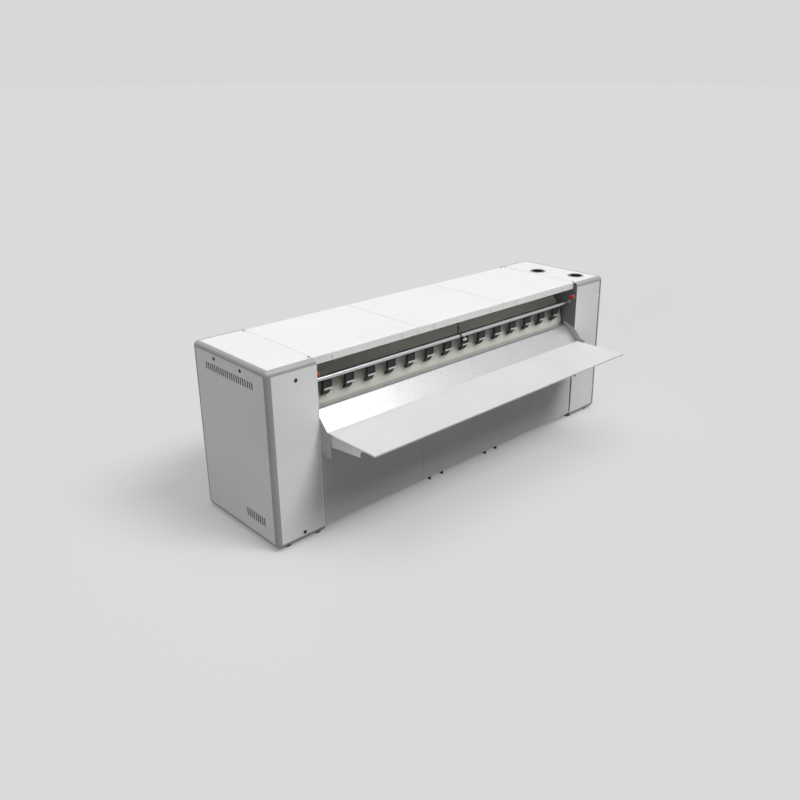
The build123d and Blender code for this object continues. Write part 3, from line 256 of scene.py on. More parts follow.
for part in frame["record"]["subparts"]:
    node = frame["nodes"][part["node"]]
    node.data.materials.clear()
    node.data.materials.append(finishes[part["material_slot"]])
print("materials:", len(finishes))


# modelling tools
faceY = 365              # the delivery face stands this far in front of the origin
backY = 895              # back of the cabinets, from the delivery face
middleY = backY / 2
topZ = 1265
wallX = 1387.5           # inner walls of the cabinets
rollZ = 890              # height of the roll's axis
slotOf = {part["node"]: part["material_slot"] for part in frame["record"]["subparts"]}
bodyOf = {node: body for body, names in frame["record"]["behaviour"]["bodies"].items() for node in names}
axisWords = {"x": 0, "y": 1, "z": 2}


def inScene(name, data):     # a new object, linked to the scene
    thing = bpy.data.objects.new(name, data)
    bpy.context.scene.collection.objects.link(thing)
    return thing


def spot(x, y, z):       # millimetres, with y from the delivery face, as a place in the frame
    return Vector((x, y - faceY, z)) * mm


def putDown():           # back to object mode, with nothing selected
    if bpy.context.object and bpy.context.object.mode != "OBJECT":
        bpy.ops.object.mode_set(mode="OBJECT")
    bpy.ops.object.select_all(action="DESELECT")


def only(piece):         # this piece alone, selected and active
    putDown()
    piece.select_set(True)
    bpy.context.view_layer.objects.active = piece


def edit(piece):
    only(piece)
    bpy.ops.object.mode_set(mode="EDIT")
    bpy.ops.mesh.select_mode(type="VERT")
    bpy.ops.mesh.select_all(action="DESELECT")


def pick(kind, test):    # selects the open piece's points, edges or faces that pass the test, in millimetres
    mesh = bmesh.from_edit_mesh(bpy.context.object.data)
    bpy.ops.mesh.select_mode(type=kind)
    bpy.ops.mesh.select_all(action="DESELECT")
    for item in {"VERT": mesh.verts, "EDGE": mesh.edges, "FACE": mesh.faces}[kind]:
        corners = [item.co] if kind == "VERT" else [corner.co for corner in item.verts]
        middle = sum(corners, Vector()) / len(corners) / mm
        if test(middle.x, middle.y + faceY, middle.z, item):
            item.select_set(True)
    mesh.select_flush_mode()
    bmesh.update_edit_mesh(bpy.context.object.data)


def drawOut(x, y, z):    # extrudes what is selected by so many millimetres
    bpy.ops.mesh.extrude_region_move(TRANSFORM_OT_translate={"value": Vector((x, y, z)) * mm})


def moveBy(x, y, z):     # moves what is selected
    bpy.ops.transform.translate(value=(x * mm, y * mm, z * mm))


def insetBy(thickness, depth=0, **settings):     # a smaller face inside each that is selected
    bpy.ops.mesh.inset(thickness=thickness * mm, depth=depth * mm, **settings)


def roundOff(width, segments):                   # bevels the selected edges
    bpy.ops.mesh.bevel(offset=width * mm, segments=segments, affect="EDGES")


def faceOut():           # every face of the open piece is turned outwards
    bpy.ops.mesh.select_all(action="SELECT")
    bpy.ops.mesh.normals_make_consistent(inside=False)


def modified(piece, kind, **settings):       # adds a modifier and applies it
    only(piece)
    modifier = piece.modifiers.new(kind.lower(), kind)
    for key, value in settings.items():
        setattr(modifier, key, value)
    bpy.ops.object.modifier_apply(modifier=modifier.name)


def thickened(piece, thickness, **settings):     # gives a sheet its wall, inwards
    modified(piece, "SOLIDIFY", thickness=thickness * mm, offset=-1, **settings)


def cut(piece, cutter):  # takes the cutter out of the piece
    modified(piece, "BOOLEAN", operation="DIFFERENCE", object=cutter, solver="EXACT")
    bpy.data.objects.remove(cutter)


def added(name):         # the primitive that was just added, with its place in its mesh
    bpy.ops.object.transform_apply(location=True, rotation=True, scale=True)
    piece = bpy.context.object
    piece.name = piece.data.name = name
    return piece


def addBlock(name, xs, ys, zs):
    putDown()
    middle = [(low + high) / 2 for low, high in (xs, ys, zs)]
    bpy.ops.mesh.primitive_cube_add(size=1, location=spot(*middle))
    bpy.context.object.scale = Vector([high - low for low, high in (xs, ys, zs)]) * mm
    return added(name)


def addOutline(name, outline, along, start, end, filled=True):
    # a ring of points on the two other axes, drawn out along the named one
    putDown()
    bpy.ops.mesh.primitive_circle_add(vertices=len(outline), fill_type="NGON" if filled else "NOTHING")
    piece = added(name)
    for point, pair in zip(piece.data.vertices, outline):
        place = list(pair)
        place.insert(axisWords[along], start)
        point.co = spot(*place)
    edit(piece)
    bpy.ops.mesh.select_all(action="SELECT")
    step = [0, 0, 0]
    step[axisWords[along]] = end - start
    drawOut(*step)
    faceOut()
    only(piece)
    return piece


def addHexagon(name, radius, x, y, low, high):       # an upright six-sided bar
    putDown()
    bpy.ops.mesh.primitive_cylinder_add(vertices=6, radius=radius * mm, depth=(high - low) * mm,
                                        location=spot(x, y, (low + high) / 2))
    return added(name)


def addTurned(name, outline, centre, along, steps=48):
    # an outline of (radius, height) pairs, spun about an axis through the centre
    putDown()
    bpy.ops.mesh.primitive_circle_add(vertices=len(outline), fill_type="NOTHING")
    piece = added(name)
    for point, (radius, height) in zip(piece.data.vertices, outline):
        point.co = Vector((radius, 0, height)) * mm
    edit(piece)
    bpy.ops.mesh.select_all(action="SELECT")
    bpy.ops.mesh.spin(steps=steps, angle=2 * math.pi, center=(0, 0, 0), axis=(0, 0, 1))
    bpy.ops.mesh.select_all(action="SELECT")
    bpy.ops.mesh.remove_doubles(threshold=0.001 * mm)
    bpy.ops.mesh.delete_loose()
    faceOut()
    only(piece)
    quarter = math.pi / 2
    piece.rotation_euler = {"x": (0, quarter, 0), "y": (-quarter, 0, 0), "z": (0, 0, 0)}[along]
    piece.location = spot(*centre)
    return added(name)


def copied(piece, name, offset=(0, 0, 0), mirror=False):      # a copy with its own mesh
    twin = inScene(name, piece.data.copy())
    only(twin)
    twin.location = Vector(offset) * mm
    if mirror:
        twin.scale = (-1, 1, 1)
    added(name)
    if mirror:
        edit(twin)
        faceOut()
        only(twin)
    return twin


def joined(name, pieces):
    only(pieces[0])
    for piece in pieces:
        piece.select_set(True)
    bpy.ops.object.join()
    pieces[0].name = pieces[0].data.name = name
    return pieces[0]


def repeated(piece, name, offsets):     # the piece and its copies, as one
    return joined(name, [piece] + [copied(piece, name, offset) for offset in offsets])


def finish(piece, slot, body, nodes=(), rounding=0.5):       # rounds, shades and coats a piece, and attaches it to its body in place of its nodes
    sharp = math.radians(35)
    if rounding:
        modified(piece, "BEVEL", width=rounding * mm, segments=2, limit_method="ANGLE", angle_limit=sharp)
    only(piece)
    bpy.ops.object.shade_smooth_by_angle(angle=sharp)
    modified(piece, "WEIGHTED_NORMAL", weight=100, keep_sharp=True)
    piece.data.materials.clear()
    piece.data.materials.append(finishes[slot])
    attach(piece, body)
    if nodes:
        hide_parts(*nodes)


def standIn(piece, node, rounding):     # finishes a piece with its CAD node's own slot and body
    finish(piece, slotOf[node], bodyOf[node], [node], rounding)


def fromCad(node, name, keep=None):     # a merged copy of a CAD node, or of the shells in it that are kept
    piece = inScene(name, frame["nodes"][node].data.copy())
    piece.data.name = name
    edit(piece)
    bpy.ops.mesh.select_all(action="SELECT")
    bpy.ops.mesh.remove_doubles(threshold=0.002 * mm)
    if keep:
        pick("VERT", lambda x, y, z, item: not keep(x, y, z))
        bpy.ops.mesh.delete(type="VERT")
    bpy.ops.mesh.select_all(action="SELECT")
    bpy.ops.mesh.dissolve_limited(angle_limit=math.radians(0.4))
    only(piece)
    return piece


# sheet metal and steelwork keep their CAD shapes, with their edges rolled or broken
softEdges = {            # node: (piece, rounding in millimetres)
    "left_front_panel": ("leftFrontPanel", 0.5), "cabinet_top_panels": ("cabinetTopPanels", 0.5),
    "cabinet_back_panels": ("cabinetBackPanels", 0.5), "right_door": ("rightDoor", 0.4),
    "tie_rails": ("tieRails", 2), "base_frame": ("baseFrame", 2), "centre_hanger": ("centreHanger", 0.4),
    "chute_cheeks": ("chuteCheeks", 0.8), "delivery_shelf": ("deliveryShelf", 0.4),
    "shelf_arms": ("shelfArms", 0.8), "feed_table": ("feedTable", 0.6), "finger_guard": ("fingerGuard", 0.8),
    "exhaust_outlets": ("exhaustOutlets", 0.4), "door_lock_barrel": ("doorLockBarrel", 0.4),
    "guard_tube": ("guardTube", 0.4),
}
turnLocks = {
    "end_lock_front": "endLockFront", "end_lock_back": "endLockBack", "front_lock_upper": "frontLockUpper",
    "front_lock_lower": "frontLockLower", "door_lock": "doorLock",
}
for node, (name, rounding) in softEdges.items():
    standIn(fromCad(node, name), node, rounding)
for node, name in turnLocks.items():
    finish(fromCad(node, name), "black_plastic", bodyOf[node], [node], 0.2)
print("softened sheet metal:", len(softEdges) + len(turnLocks))

# the lower panels stop a little higher, on a hem
panelHem = {"below": 52, "by": 5}
lowerPanels = fromCad("lower_panels", "lowerPanels")
edit(lowerPanels)
pick("VERT", lambda x, y, z, item: z < panelHem["below"])
moveBy(0, 0, panelHem["by"])
standIn(lowerPanels, "lower_panels", 0.5)

# the stripper bar's top edges are planed low, so that the polished tube hides it from the front
barPlaned = {"above": 1085, "by": 14, "rounding": 2}
# the bar's black is partly painted shade for the dark line above the tube
stripperBar = fromCad("stripper_bar", "stripperBar")
edit(stripperBar)
pick("VERT", lambda x, y, z, item: z > barPlaned["above"])
moveBy(0, 0, -barPlaned["by"])
standIn(stripperBar, "stripper_bar", barPlaned["rounding"])

# the chute is one sheet: a flat lip beside the roll, a tight bend and a straight slope
chute = {"half": 1382.8, "sheet": 2, "lip": (144, 876), "corner": (94.9, 876), "end": (-36, 738), "bend": 14}


def addChute():
    (lipY, lipZ), (cornerY, cornerZ), (endY, endZ) = chute["lip"], chute["corner"], chute["end"]
    piece = addBlock("chuteSheet", (-chute["half"], chute["half"]), (endY, lipY), (lipZ - 6, lipZ))
    edit(piece)
    # only the top face stays; its front edge goes back to the corner and is drawn down the slope
    pick("FACE", lambda x, y, z, face: face.normal.z < 0.9)
    bpy.ops.mesh.delete(type="FACE")
    pick("EDGE", lambda x, y, z, edge: y < endY + 1)
    moveBy(0, cornerY - endY, 0)
    drawOut(0, endY - cornerY, endZ - cornerZ)
    pick("EDGE", lambda x, y, z, edge: abs(y - cornerY) < 1 and abs(x) < 1)
    roundOff(chute["bend"], 8)
    faceOut()
    mesh = bmesh.from_edit_mesh(piece.data)
    if sum(face.normal.z for face in mesh.faces) < 0:
        bpy.ops.mesh.flip_normals()
    thickened(piece, chute["sheet"], use_even_offset=True)
    return piece


standIn(addChute(), "chute", 0.5)

# the end panels' louvres are pressed wider than they are cut, with a black sheet behind them as painted shade for the
# dark inside of the cabinets
vents = {
    # each row's count, pitch, middle y, middle z and height
    "rows": ((22, 26.5, middleY, 1130.5, 51), (9, 25.5, 250, 172, 64)),
    "half": 4, "spread": 2.6,        # half a cut slot, and how far each side is pressed out
    "shadeSheet": (1758.5, 1760.5), "margin": 7, "frame": (4, -1),
}


def onSlot(row, side, y, z):     # whether a point is on that side of one of the row's slots
    count, pitch, middle, z0, height = row
    fromSlot = (y - middle + count * pitch / 2) % pitch - pitch / 2
    inRow = abs(z - z0) < height / 2 + 3 and abs(y - middle) < count * pitch / 2
    return inRow and abs(fromSlot - side * vents["half"]) < 1.5


endPanels = fromCad("end_panels", "endPanels")
edit(endPanels)
for row in vents["rows"]:
    for side in (-1, 1):
        pick("VERT", lambda x, y, z, point: onSlot(row, side, y, z))
        moveBy(0, side * vents["spread"], 0)
finish(endPanels, "cabinet_paint", "machine", ["end_panels"], 0.4)
# black sheets behind the louvres: painted shade for the dark inside of the cabinets
shadeSheets = []
for count, pitch, middle, z0, height in vents["rows"]:
    reach = count * pitch / 2 + vents["margin"]
    for side in (-1, 1):
        xs = sorted(side * x for x in vents["shadeSheet"])
        rise = height / 2 + vents["margin"]
        shadeSheet = addBlock("ventShadeSheets", xs, (middle - reach, middle + reach), (z0 - rise, z0 + rise))
        edit(shadeSheet)
        pick("FACE", lambda x, y, z, face: face.normal.x * side > 0.9)
        insetBy(*vents["frame"])
        shadeSheets.append(shadeSheet)
finish(joined("ventShadeSheets", shadeSheets), "black_plastic", "machine", (), 0.3)
print("vents")

# a folded strip closes the joint between the left lower panel and its cabinet
strip = {"xs": (-1387.2, -1362), "y": 2.2, "sheet": 1.5, "flange": 22, "zs": (50, 765)}
(x0, x1), y0, sheet = strip["xs"], strip["y"], strip["sheet"]
y1 = y0 + strip["flange"]
outline = [(x0, y0), (x1, y0), (x1, y0 + sheet), (x0 + sheet, y0 + sheet), (x0 + sheet, y1), (x0, y1)]
finish(addOutline("panelStrip", outline, "z", *strip["zs"]), "lower_paint", "machine", (), 0.3)

# folded lips guide a fork lift into the two pockets of the base; their black paint is painted shade for the pockets'
# dark mouths
forkLip = {"centres": (-284.5, 349), "width": 134, "plate": 8, "ys": (30, 112), "zs": (4.5, 51.5),
           "flare": 0.75, "edge": 1.5}
lips = []
half = forkLip["plate"] / 2
for centre in forkLip["centres"]:
    for side in (-1, 1):
        x = centre + side * forkLip["width"] / 2
        for front in (True, False):
            ys = forkLip["ys"] if front else [backY - y for y in reversed(forkLip["ys"])]
            mouth = ys[0] if front else ys[1]
            lip = addBlock("forkPocketShade", (x - half, x + half), ys, forkLip["zs"])
            edit(lip)
            pick("FACE", lambda fx, y, z, face: abs(y - mouth) < 1)
            moveBy(-side * forkLip["flare"], 0, 0)
            insetBy(forkLip["edge"])
            lips.append(lip)
finish(joined("forkPocketShade", lips), "black_paint", "machine", (), 0.6)

# small hardware of the cabinets
hardware = {
    "cap": (1402.5, 62, topZ - 2),         # middle of the right front screw, on its seat
    "socket": (4.6, 1.5, 6.5),             # the key's radius, and where it starts and ends above the seat
    "hingesFrom": 1700,                    # the hinges lie beyond this x
    "barrelsWithin": (-1500, 870, 1240),   # the lock barrels lie below these x, y and z
}


def addCapScrew():
    x, y, seat = hardware["cap"]
    radius, low, high = hardware["socket"]
    outline = [(0, -12), (3.6, -12), (4, -11), (4, 0), (11.8, 0), (11.8, 1.8), (11, 2.8), (8, 4), (0, 4)]
    screw = addTurned("capScrew", outline, (x, y, seat), "z", 36)
    cut(screw, addHexagon("socketCutter", radius, x, y, seat + low, seat + high))
    return screw


def hardwarePiece(piece, slot, rounding):
    finish(piece, slot, "machine", ["panel_hardware"], rounding)


capX, capY = hardware["cap"][:2]
capSteps = [(0, backY - 2 * capY, 0), (-2 * capX, 0, 0), (-2 * capX, backY - 2 * capY, 0)]
hardwarePiece(repeated(addCapScrew(), "capScrews", capSteps), "moulding_grey", 0.2)
farX, farY, farZ = hardware["barrelsWithin"]
barrels = fromCad("panel_hardware", "lockBarrels", lambda x, y, z: x < farX and y < farY and z < farZ)
hardwarePiece(barrels, "black_plastic", 0.4)
leaves = fromCad("panel_hardware", "hingeLeaves", lambda x, y, z: x > hardware["hingesFrom"])
hardwarePiece(leaves, "zinc_steel", 0.3)
glandPlace = (-1600, backY - 2, 150)
glandLine = [(8, -14), (12, -14), (12, 0), (18, 0), (18, 5), (16.5, 6), (16.5, 8), (15, 16), (12, 23.5),
             (10.5, 24), (8, 23)]
hardwarePiece(addTurned("cableGland", glandLine, glandPlace, "y", 12), "black_plastic", 0.4)

# a white folded edge runs round each cabinet where it meets the covers; its white line is partly a painted highlight
# along that edge
trim = {"proud": 0.4, "depth": 2.6, "width": 2.4, "low": 15, "radius": 34, "steps": 10}


def trimLine():
    reach = trim["radius"] + trim["proud"]
    points = []
    for y, z, start in ((0, topZ, 90), (backY, topZ, 0), (backY, trim["low"], -90), (0, trim["low"], -180)):
        cy = y + trim["radius"] * (1 if y == 0 else -1)
        cz = z + trim["radius"] * (1 if z == trim["low"] else -1)
        for i in range(trim["steps"] + 1):
            angle = math.radians(start + 90 - 90 * i / trim["steps"])
            points.append((cy + reach * math.cos(angle), cz + reach * math.sin(angle)))
    return points


edging = addOutline("edgeTrimHighlightLeft", trimLine(), "x", -wallX - trim["width"], -wallX, filled=False)
thickened(edging, trim["depth"])
for piece in (edging, copied(edging, "edgeTrimHighlightRight", mirror=True)):
    finish(piece, "hood_paint", "machine", (), 0.3)
print("cabinet hardware and trim")

# top covers: folded sheet with a hem along the lower edge and two slits in each lip
cover = {"front": 42, "low": 1208, "corner": 8, "sheet": 2, "hem": 12, "gap": 1.5,
         "slit": (4, 3, 40), "slitFromEnd": 155}       # slit: width, start and end above the lower edge


def addCover(name, low, high):
    front, back, bottom = cover["front"], backY - cover["front"], cover["low"]
    piece = addBlock(name, (low, high), (front, back), (bottom, topZ))
    edit(piece)
    pick("FACE", lambda x, y, z, face: face.normal.z < -0.9 or abs(face.normal.x) > 0.9)
    bpy.ops.mesh.delete(type="FACE")
    pick("EDGE", lambda x, y, z, edge: z > topZ - 1 and min(y - front, back - y) < 1)
    roundOff(cover["corner"], 6)
    for y0, inwards in ((front, 1), (back, -1)):
        pick("EDGE", lambda x, y, z, edge: z < bottom + 1 and abs(y - y0) < 1)
        drawOut(0, inwards * cover["hem"], 0)
    faceOut()
    thickened(piece, cover["sheet"], use_even_offset=True)
    width, start, end = cover["slit"]
    for x in (low + cover["slitFromEnd"], high - cover["slitFromEnd"]):
        xs = (x - width / 2, x + width / 2)
        cut(piece, addBlock("slitCutter", xs, (front - 5, back + 5), (bottom + start, bottom + end)))
    return piece


third = 2 * wallX / 3
gaps = (0.2, cover["gap"], cover["gap"], 2 * cover["gap"])
seams = [i * third - wallX for i in range(4)]
covers = [addCover("topCover", seams[i] + gaps[i], seams[i + 1] - gaps[i + 1]) for i in range(3)]
finish(joined("topCovers", covers), "hood_paint", "machine", ["top_covers"], 0.3)

# a black sheet behind each slit is painted shade for the dark inside of the hood
slitShade = {"half": 9, "ys": (44.4, 46), "zs": (1211, 1253), "pan": (3, -0.5)}
slitShades = []
for low, high in zip(seams, seams[1:]):
    for x in (low + cover["slitFromEnd"], high - cover["slitFromEnd"]):
        for ys, outward in ((slitShade["ys"], -1), ([backY - y for y in reversed(slitShade["ys"])], 1)):
            piece = addBlock("slitShadeSheets", (x - slitShade["half"], x + slitShade["half"]), ys, slitShade["zs"])
            edit(piece)
            pick("FACE", lambda fx, y, z, face: face.normal.y * outward < -0.9)
            insetBy(*slitShade["pan"])
            slitShades.append(piece)
finish(joined("slitShadeSheets", slitShades), "black_plastic", "machine", (), 0.2)
print("top covers")

# roll clothing: felt wound over the springs, its outer lap stepping down along one line
pad = {
    "radius": 300, "thick": 12, "half": 1379.5, "points": 144, "bands": 44,
    "lap": 0.9, "lapAngle": 200, "lapFades": 3,        # the step's height and place; it fades in 1/3 turn
    "edge": 5, "drawnIn": 2.5,                         # the ends of the cloth
    "uneven": 0.35, "cloud": 0.12,                     # its height in mm and its spread in metres
}


def addRollPad():
    outline = []
    for i in range(pad["points"]):
        turn = i / (pad["points"] - 1)
        radius = pad["radius"] - pad["lap"] * (1 - min(1, turn * pad["lapFades"]))
        angle = math.radians(pad["lapAngle"] + 360 * (i / pad["points"]))
        outline.append((middleY + radius * math.cos(angle), rollZ + radius * math.sin(angle)))
    start = pad["edge"] - pad["half"]
    band = 2 * (pad["half"] - pad["edge"]) / pad["bands"]
    piece = addOutline("rollPad", outline, "x", -pad["half"], start, filled=False)
    edit(piece)
    for i in range(pad["bands"]):
        x = start + i * band
        pick("EDGE", lambda ex, y, z, edge: all(abs(end.co.x / mm - x) < 0.1 for end in edge.verts))
        drawOut(band, 0, 0)
    pick("EDGE", lambda ex, y, z, edge: ex > -start - 0.1)
    drawOut(pad["edge"], 0, 0)
    # the cloth is drawn in over both ends
    pick("VERT", lambda ex, y, z, point: abs(ex) > pad["half"] - 0.1)
    shrink = 1 - pad["drawnIn"] / pad["radius"]
    bpy.ops.transform.resize(value=(1, shrink, shrink), center_override=spot(0, middleY, rollZ))
    faceOut()
    thickened(piece, pad["thick"])
    clouds = bpy.data.textures.new("feltClouds", "CLOUDS")
    clouds.noise_scale = pad["cloud"]
    modified(piece, "DISPLACE", texture=clouds, strength=pad["uneven"] * mm, mid_level=1)
    return piece


rollPad = addRollPad()
finish(rollPad, "clothing", "roll", ["roll_clothing"], 0)
print("roll clothing")

# strippers: a moulded block on the bar, a spring clip across it and a shoe that rides close to the roll
stripper = {
    "count": 14, "pitch": 190, "half": 35.5, "front": 101, "rear": 125, "low": 985, "top": 1050,
    "face": 7, "taper": 3, "proud": 2, "corner": 5,    # the block's raised face and its lower corners
    "screw": (26, -2.2, -6),                           # from the block's middle, front and top
    "clip": (74, 3, 12), "clipShift": 4, "clipEdge": 2.6, "clipProud": 0.8,
    "shoeHalf": 30, "shoeGap": 0.6, "shoeTip": 950, "shoeNarrows": 0.95,
}
firstX = -(stripper["count"] - 1) / 2 * stripper["pitch"]
stripperSteps = [(i * stripper["pitch"], 0, 0) for i in range(1, stripper["count"])]


def addStripperBlock():
    front, low, top = stripper["front"], stripper["low"], stripper["top"]
    xs = (firstX - stripper["half"], firstX + stripper["half"])
    piece = addBlock("stripperBlock", xs, (front, stripper["rear"]), (low, top))
    edit(piece)
    pick("FACE", lambda x, y, z, face: face.normal.y < -0.9)
    insetBy(stripper["face"])
    moveBy(0, 0, stripper["taper"])
    drawOut(0, stripper["proud"], 0)
    # the lower corners are drawn in where the shoe leaves the block
    pick("EDGE", lambda x, y, z, edge: z < low + 0.1 and min(x - xs[0], xs[1] - x) < 0.1)
    roundOff(stripper["corner"], 3)
    parts = [piece]
    out, dy, dz = stripper["screw"]
    outline = [(0, 0), (2.4, 0), (4, 0.6), (4, 2.6), (0, 2.6)]
    for side in (-1, 1):
        parts.append(addTurned("blockScrew", outline, (firstX + side * out, front + dy, top + dz), "y", 20))
    return joined("stripperBlock", parts)


def addStripperClip():
    width, depth, height = stripper["clip"]
    x0 = firstX + stripper["clipShift"] - width / 2
    piece = addBlock("stripperClip", (x0, x0 + width), (stripper["front"] - depth, stripper["front"]),
                     (stripper["low"], stripper["low"] + height))
    edit(piece)
    pick("FACE", lambda x, y, z, face: face.normal.y < -0.9)
    insetBy(stripper["clipEdge"])
    drawOut(0, stripper["clipProud"], 0)
    only(piece)
    return piece


def addStripperShoe():
    def besideRoll(above):
        radius = pad["radius"] + stripper["shoeGap"]
        return middleY - math.sqrt(radius ** 2 - above ** 2)

    front, low, half = stripper["front"], stripper["low"], stripper["shoeHalf"]
    outline = [(front + 3, low), (front + 17, low)]
    outline += [(besideRoll(above), rollZ + above) for above in (54, 48, 42)]
    outline.append((front + 28, rollZ + 56))
    piece = addOutline("stripperShoe", outline, "x", firstX - half, firstX + half)
    edit(piece)
    pick("VERT", lambda x, y, z, point: z < stripper["shoeTip"])
    bpy.ops.transform.resize(value=(stripper["shoeNarrows"], 1, 1), center_override=spot(firstX, front, low))
    only(piece)
    return piece


blocks = repeated(addStripperBlock(), "stripperBlocks", stripperSteps)
finish(blocks, "black_plastic", "strippers", ["stripper_blocks"], 0.8)
clips = repeated(addStripperClip(), "stripperClips", stripperSteps)
finish(clips, "stainless", "strippers", ["stripper_clips"], 0.4)
shoes = repeated(addStripperShoe(), "stripperShoes", stripperSteps)
finish(shoes, "black_plastic", "strippers", ["stripper_shoes"], 0.8)
print("strippers:", stripper["count"])

# roll sensor: its bracket, its head with a lens towards the roll, and the lead up to the hood
sensor = {
    "x": 74, "ys": (82, 93), "zs": (1031, 1047), "half": 18, "corner": 2.5,
    "armFrom": 6, "armHalf": 5, "armYs": (90, 93), "armZs": (1075, 1085), "overlap": 8,
    "lead": 5, "leadLength": 222,
}


def addSensor():
    x, half, armHalf, (z0, z1) = sensor["x"], sensor["half"], sensor["armHalf"], sensor["zs"]
    body = addBlock("sensorBody", (x - half, x + half), sensor["ys"], sensor["zs"])
    modified(body, "BEVEL", width=sensor["corner"] * mm, segments=3)
    lens = [(0, 0), (5.5, 0), (5.5, 2.4), (4, 3), (3.6, 2.4), (0, 2.2)]
    nose = addTurned("sensorNose", lens, (x, sensor["ys"][1], (z0 + z1) / 2), "y", 28)
    arm = addBlock("sensorArm", (sensor["armFrom"], x + armHalf), sensor["armYs"], sensor["armZs"])
    dropZs = (z1 - sensor["overlap"], sensor["armZs"][0])
    drop = addBlock("sensorDrop", (x - armHalf, x + armHalf), sensor["armYs"], dropZs)
    return joined("rollSensor", [body, nose, arm, drop])


finish(addSensor(), "white_plastic", "machine", ["roll_sensor"], 0.4)


def addLead():
    route = [(67, 87, 1047), (63, 91, 1057), (55, 96.7, 1074), (44, 96.7, 1098), (22, 96.7, 1130),
             (6, 96.7, 1170), (0, 96.7, 1215), (0, 96.7, 1245)]
    line = bpy.data.curves.new("sensorLead", "CURVE")
    line.dimensions = "3D"
    line.bevel_depth = sensor["lead"] / 2 * mm
    line.bevel_resolution = 4
    line.resolution_u = 12
    line.use_fill_caps = True
    spline = line.splines.new("NURBS")
    spline.points.add(len(route) - 1)
    for point, place in zip(spline.points, route):
        point.co = (*spot(*place), 1)
    spline.order_u = 3
    spline.use_endpoint_u = True
    lead = inScene("sensorLead", line)
    line.materials.append(finishes["black_plastic"])
    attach(lead, "machine")
    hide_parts("roll_sensor")


addLead()
print("roll sensor and lead")

# emergency stops: mushroom heads on turned collars
stop = {"y": 35, "z": 1138, "feed": (1507.5, 955, 1050)}
stopHead = [(0, -20), (12, -20), (12, -16), (8, -16), (8, 18), (16, 18), (19.4, 19.2), (20, 20.6), (20, 27),
            (19, 30.4), (16, 33), (11, 34), (9.6, 33.2), (8.6, 33), (0, 33.4)]
stopCollar = [(8.2, 0), (22, 0), (22, 8.6), (21, 10), (18, 12), (11, 12), (8.2, 9.5)]
leftPlace = (-wallX, stop["y"], stop["z"])
leftStop = addTurned("stopHeadLeft", stopHead, leftPlace, "x")
stopHeads = {"e_stop_right": copied(leftStop, "stopHeadRight", mirror=True), "e_stop_left": leftStop,
             "e_stop_feed": addTurned("stopHeadFeed", stopHead, stop["feed"], "y")}
for node, head in stopHeads.items():
    finish(head, "red_plastic", node, [node], 0.2)


def controlPiece(piece, slot, rounding):
    finish(piece, slot, "machine", ["control_stations"], rounding)


leftCollar = addTurned("stopCollars", stopCollar, leftPlace, "x")
collars = [leftCollar, copied(leftCollar, "stopCollars", mirror=True),
           addTurned("stopCollars", stopCollar, stop["feed"], "y")]
controlPiece(joined("stopCollars", collars), "grey_plastic", 0.2)
contacts = fromCad("control_stations", "stopContacts", lambda x, y, z: y < 100 and abs(x) > wallX + 2)
controlPiece(contacts, "grey_plastic", 0.6)

# the feed side's control station: its case, three push buttons and a blank display
station = {
    "x": 1577.5, "z": 1050, "face": 955, "half": (120, 80),
    "wall": 4, "corner": 10, "rim": 5, "groove": (1, -1),
    "buttons": (30, -0.5, -35), "buttonStep": 35,      # from the middle of the face
    "display": ((-20, 8), (-1, 2), (-45, 45)), "frame": (3, -0.8),
}


def addStation():
    x, z, (halfX, halfZ) = station["x"], station["z"], station["half"]
    ys = (backY - 2, station["face"])
    case = addBlock("stationCase", (x - halfX, x + halfX), ys, (z - halfZ, z + halfZ))
    edit(case)
    pick("FACE", lambda fx, y, fz, face: face.normal.y < -0.9)
    bpy.ops.mesh.delete(type="FACE")
    pick("EDGE", lambda ex, y, ez, edge: abs(abs(ex - x) - halfX) < 1 and abs(abs(ez - z) - halfZ) < 1)
    roundOff(station["corner"], 5)
    pick("FACE", lambda fx, y, fz, face: face.normal.y > 0.9)
    insetBy(station["rim"])
    insetBy(*station["groove"])
    thickened(case, station["wall"])
    return case


controlPiece(addStation(), "grey_plastic", 0.8)
ring = [(0, 0), (12, 0), (12, 3.6), (11.2, 4.6), (9.6, 4.6), (9.6, 3), (0, 3)]
dome = [(0, 2.6), (9, 2.6), (9, 6.2), (8, 7), (0, 7.4)]
faceMiddle = (station["x"], station["face"], station["z"])
buttonPlace = [middle + out for middle, out in zip(faceMiddle, station["buttons"])]
buttonSteps = [(0, 0, station["buttonStep"]), (0, 0, 2 * station["buttonStep"])]
for name, outline, slot, rounding in (("buttonRings", ring, "aluminium", 0.2),
                                      ("buttonCaps", dome, "black_plastic", 0.3)):
    controlPiece(repeated(addTurned(name, outline, buttonPlace, "y", 36), name, buttonSteps), slot, rounding)
spans = [(middle + low, middle + high) for middle, (low, high) in zip(faceMiddle, station["display"])]
panel = addBlock("displayPanel", *spans)
edit(panel)
pick("FACE", lambda x, y, z, face: face.normal.y > 0.9)
insetBy(*station["frame"])
controlPiece(panel, "black_plastic", 0.4)
print("emergency stops and control station")

# levelling feet: moulded pads on threaded stems, each with a lock nut under the rail
foot = {"xs": (1425, 1666), "y": 56, "pad": 30, "stem": 8, "thread": (16, 3, 0.9), "top": 82,
        "nut": (13, 42, 52), "nutEdge": (1.2, 1)}      # thread: start, pitch and depth


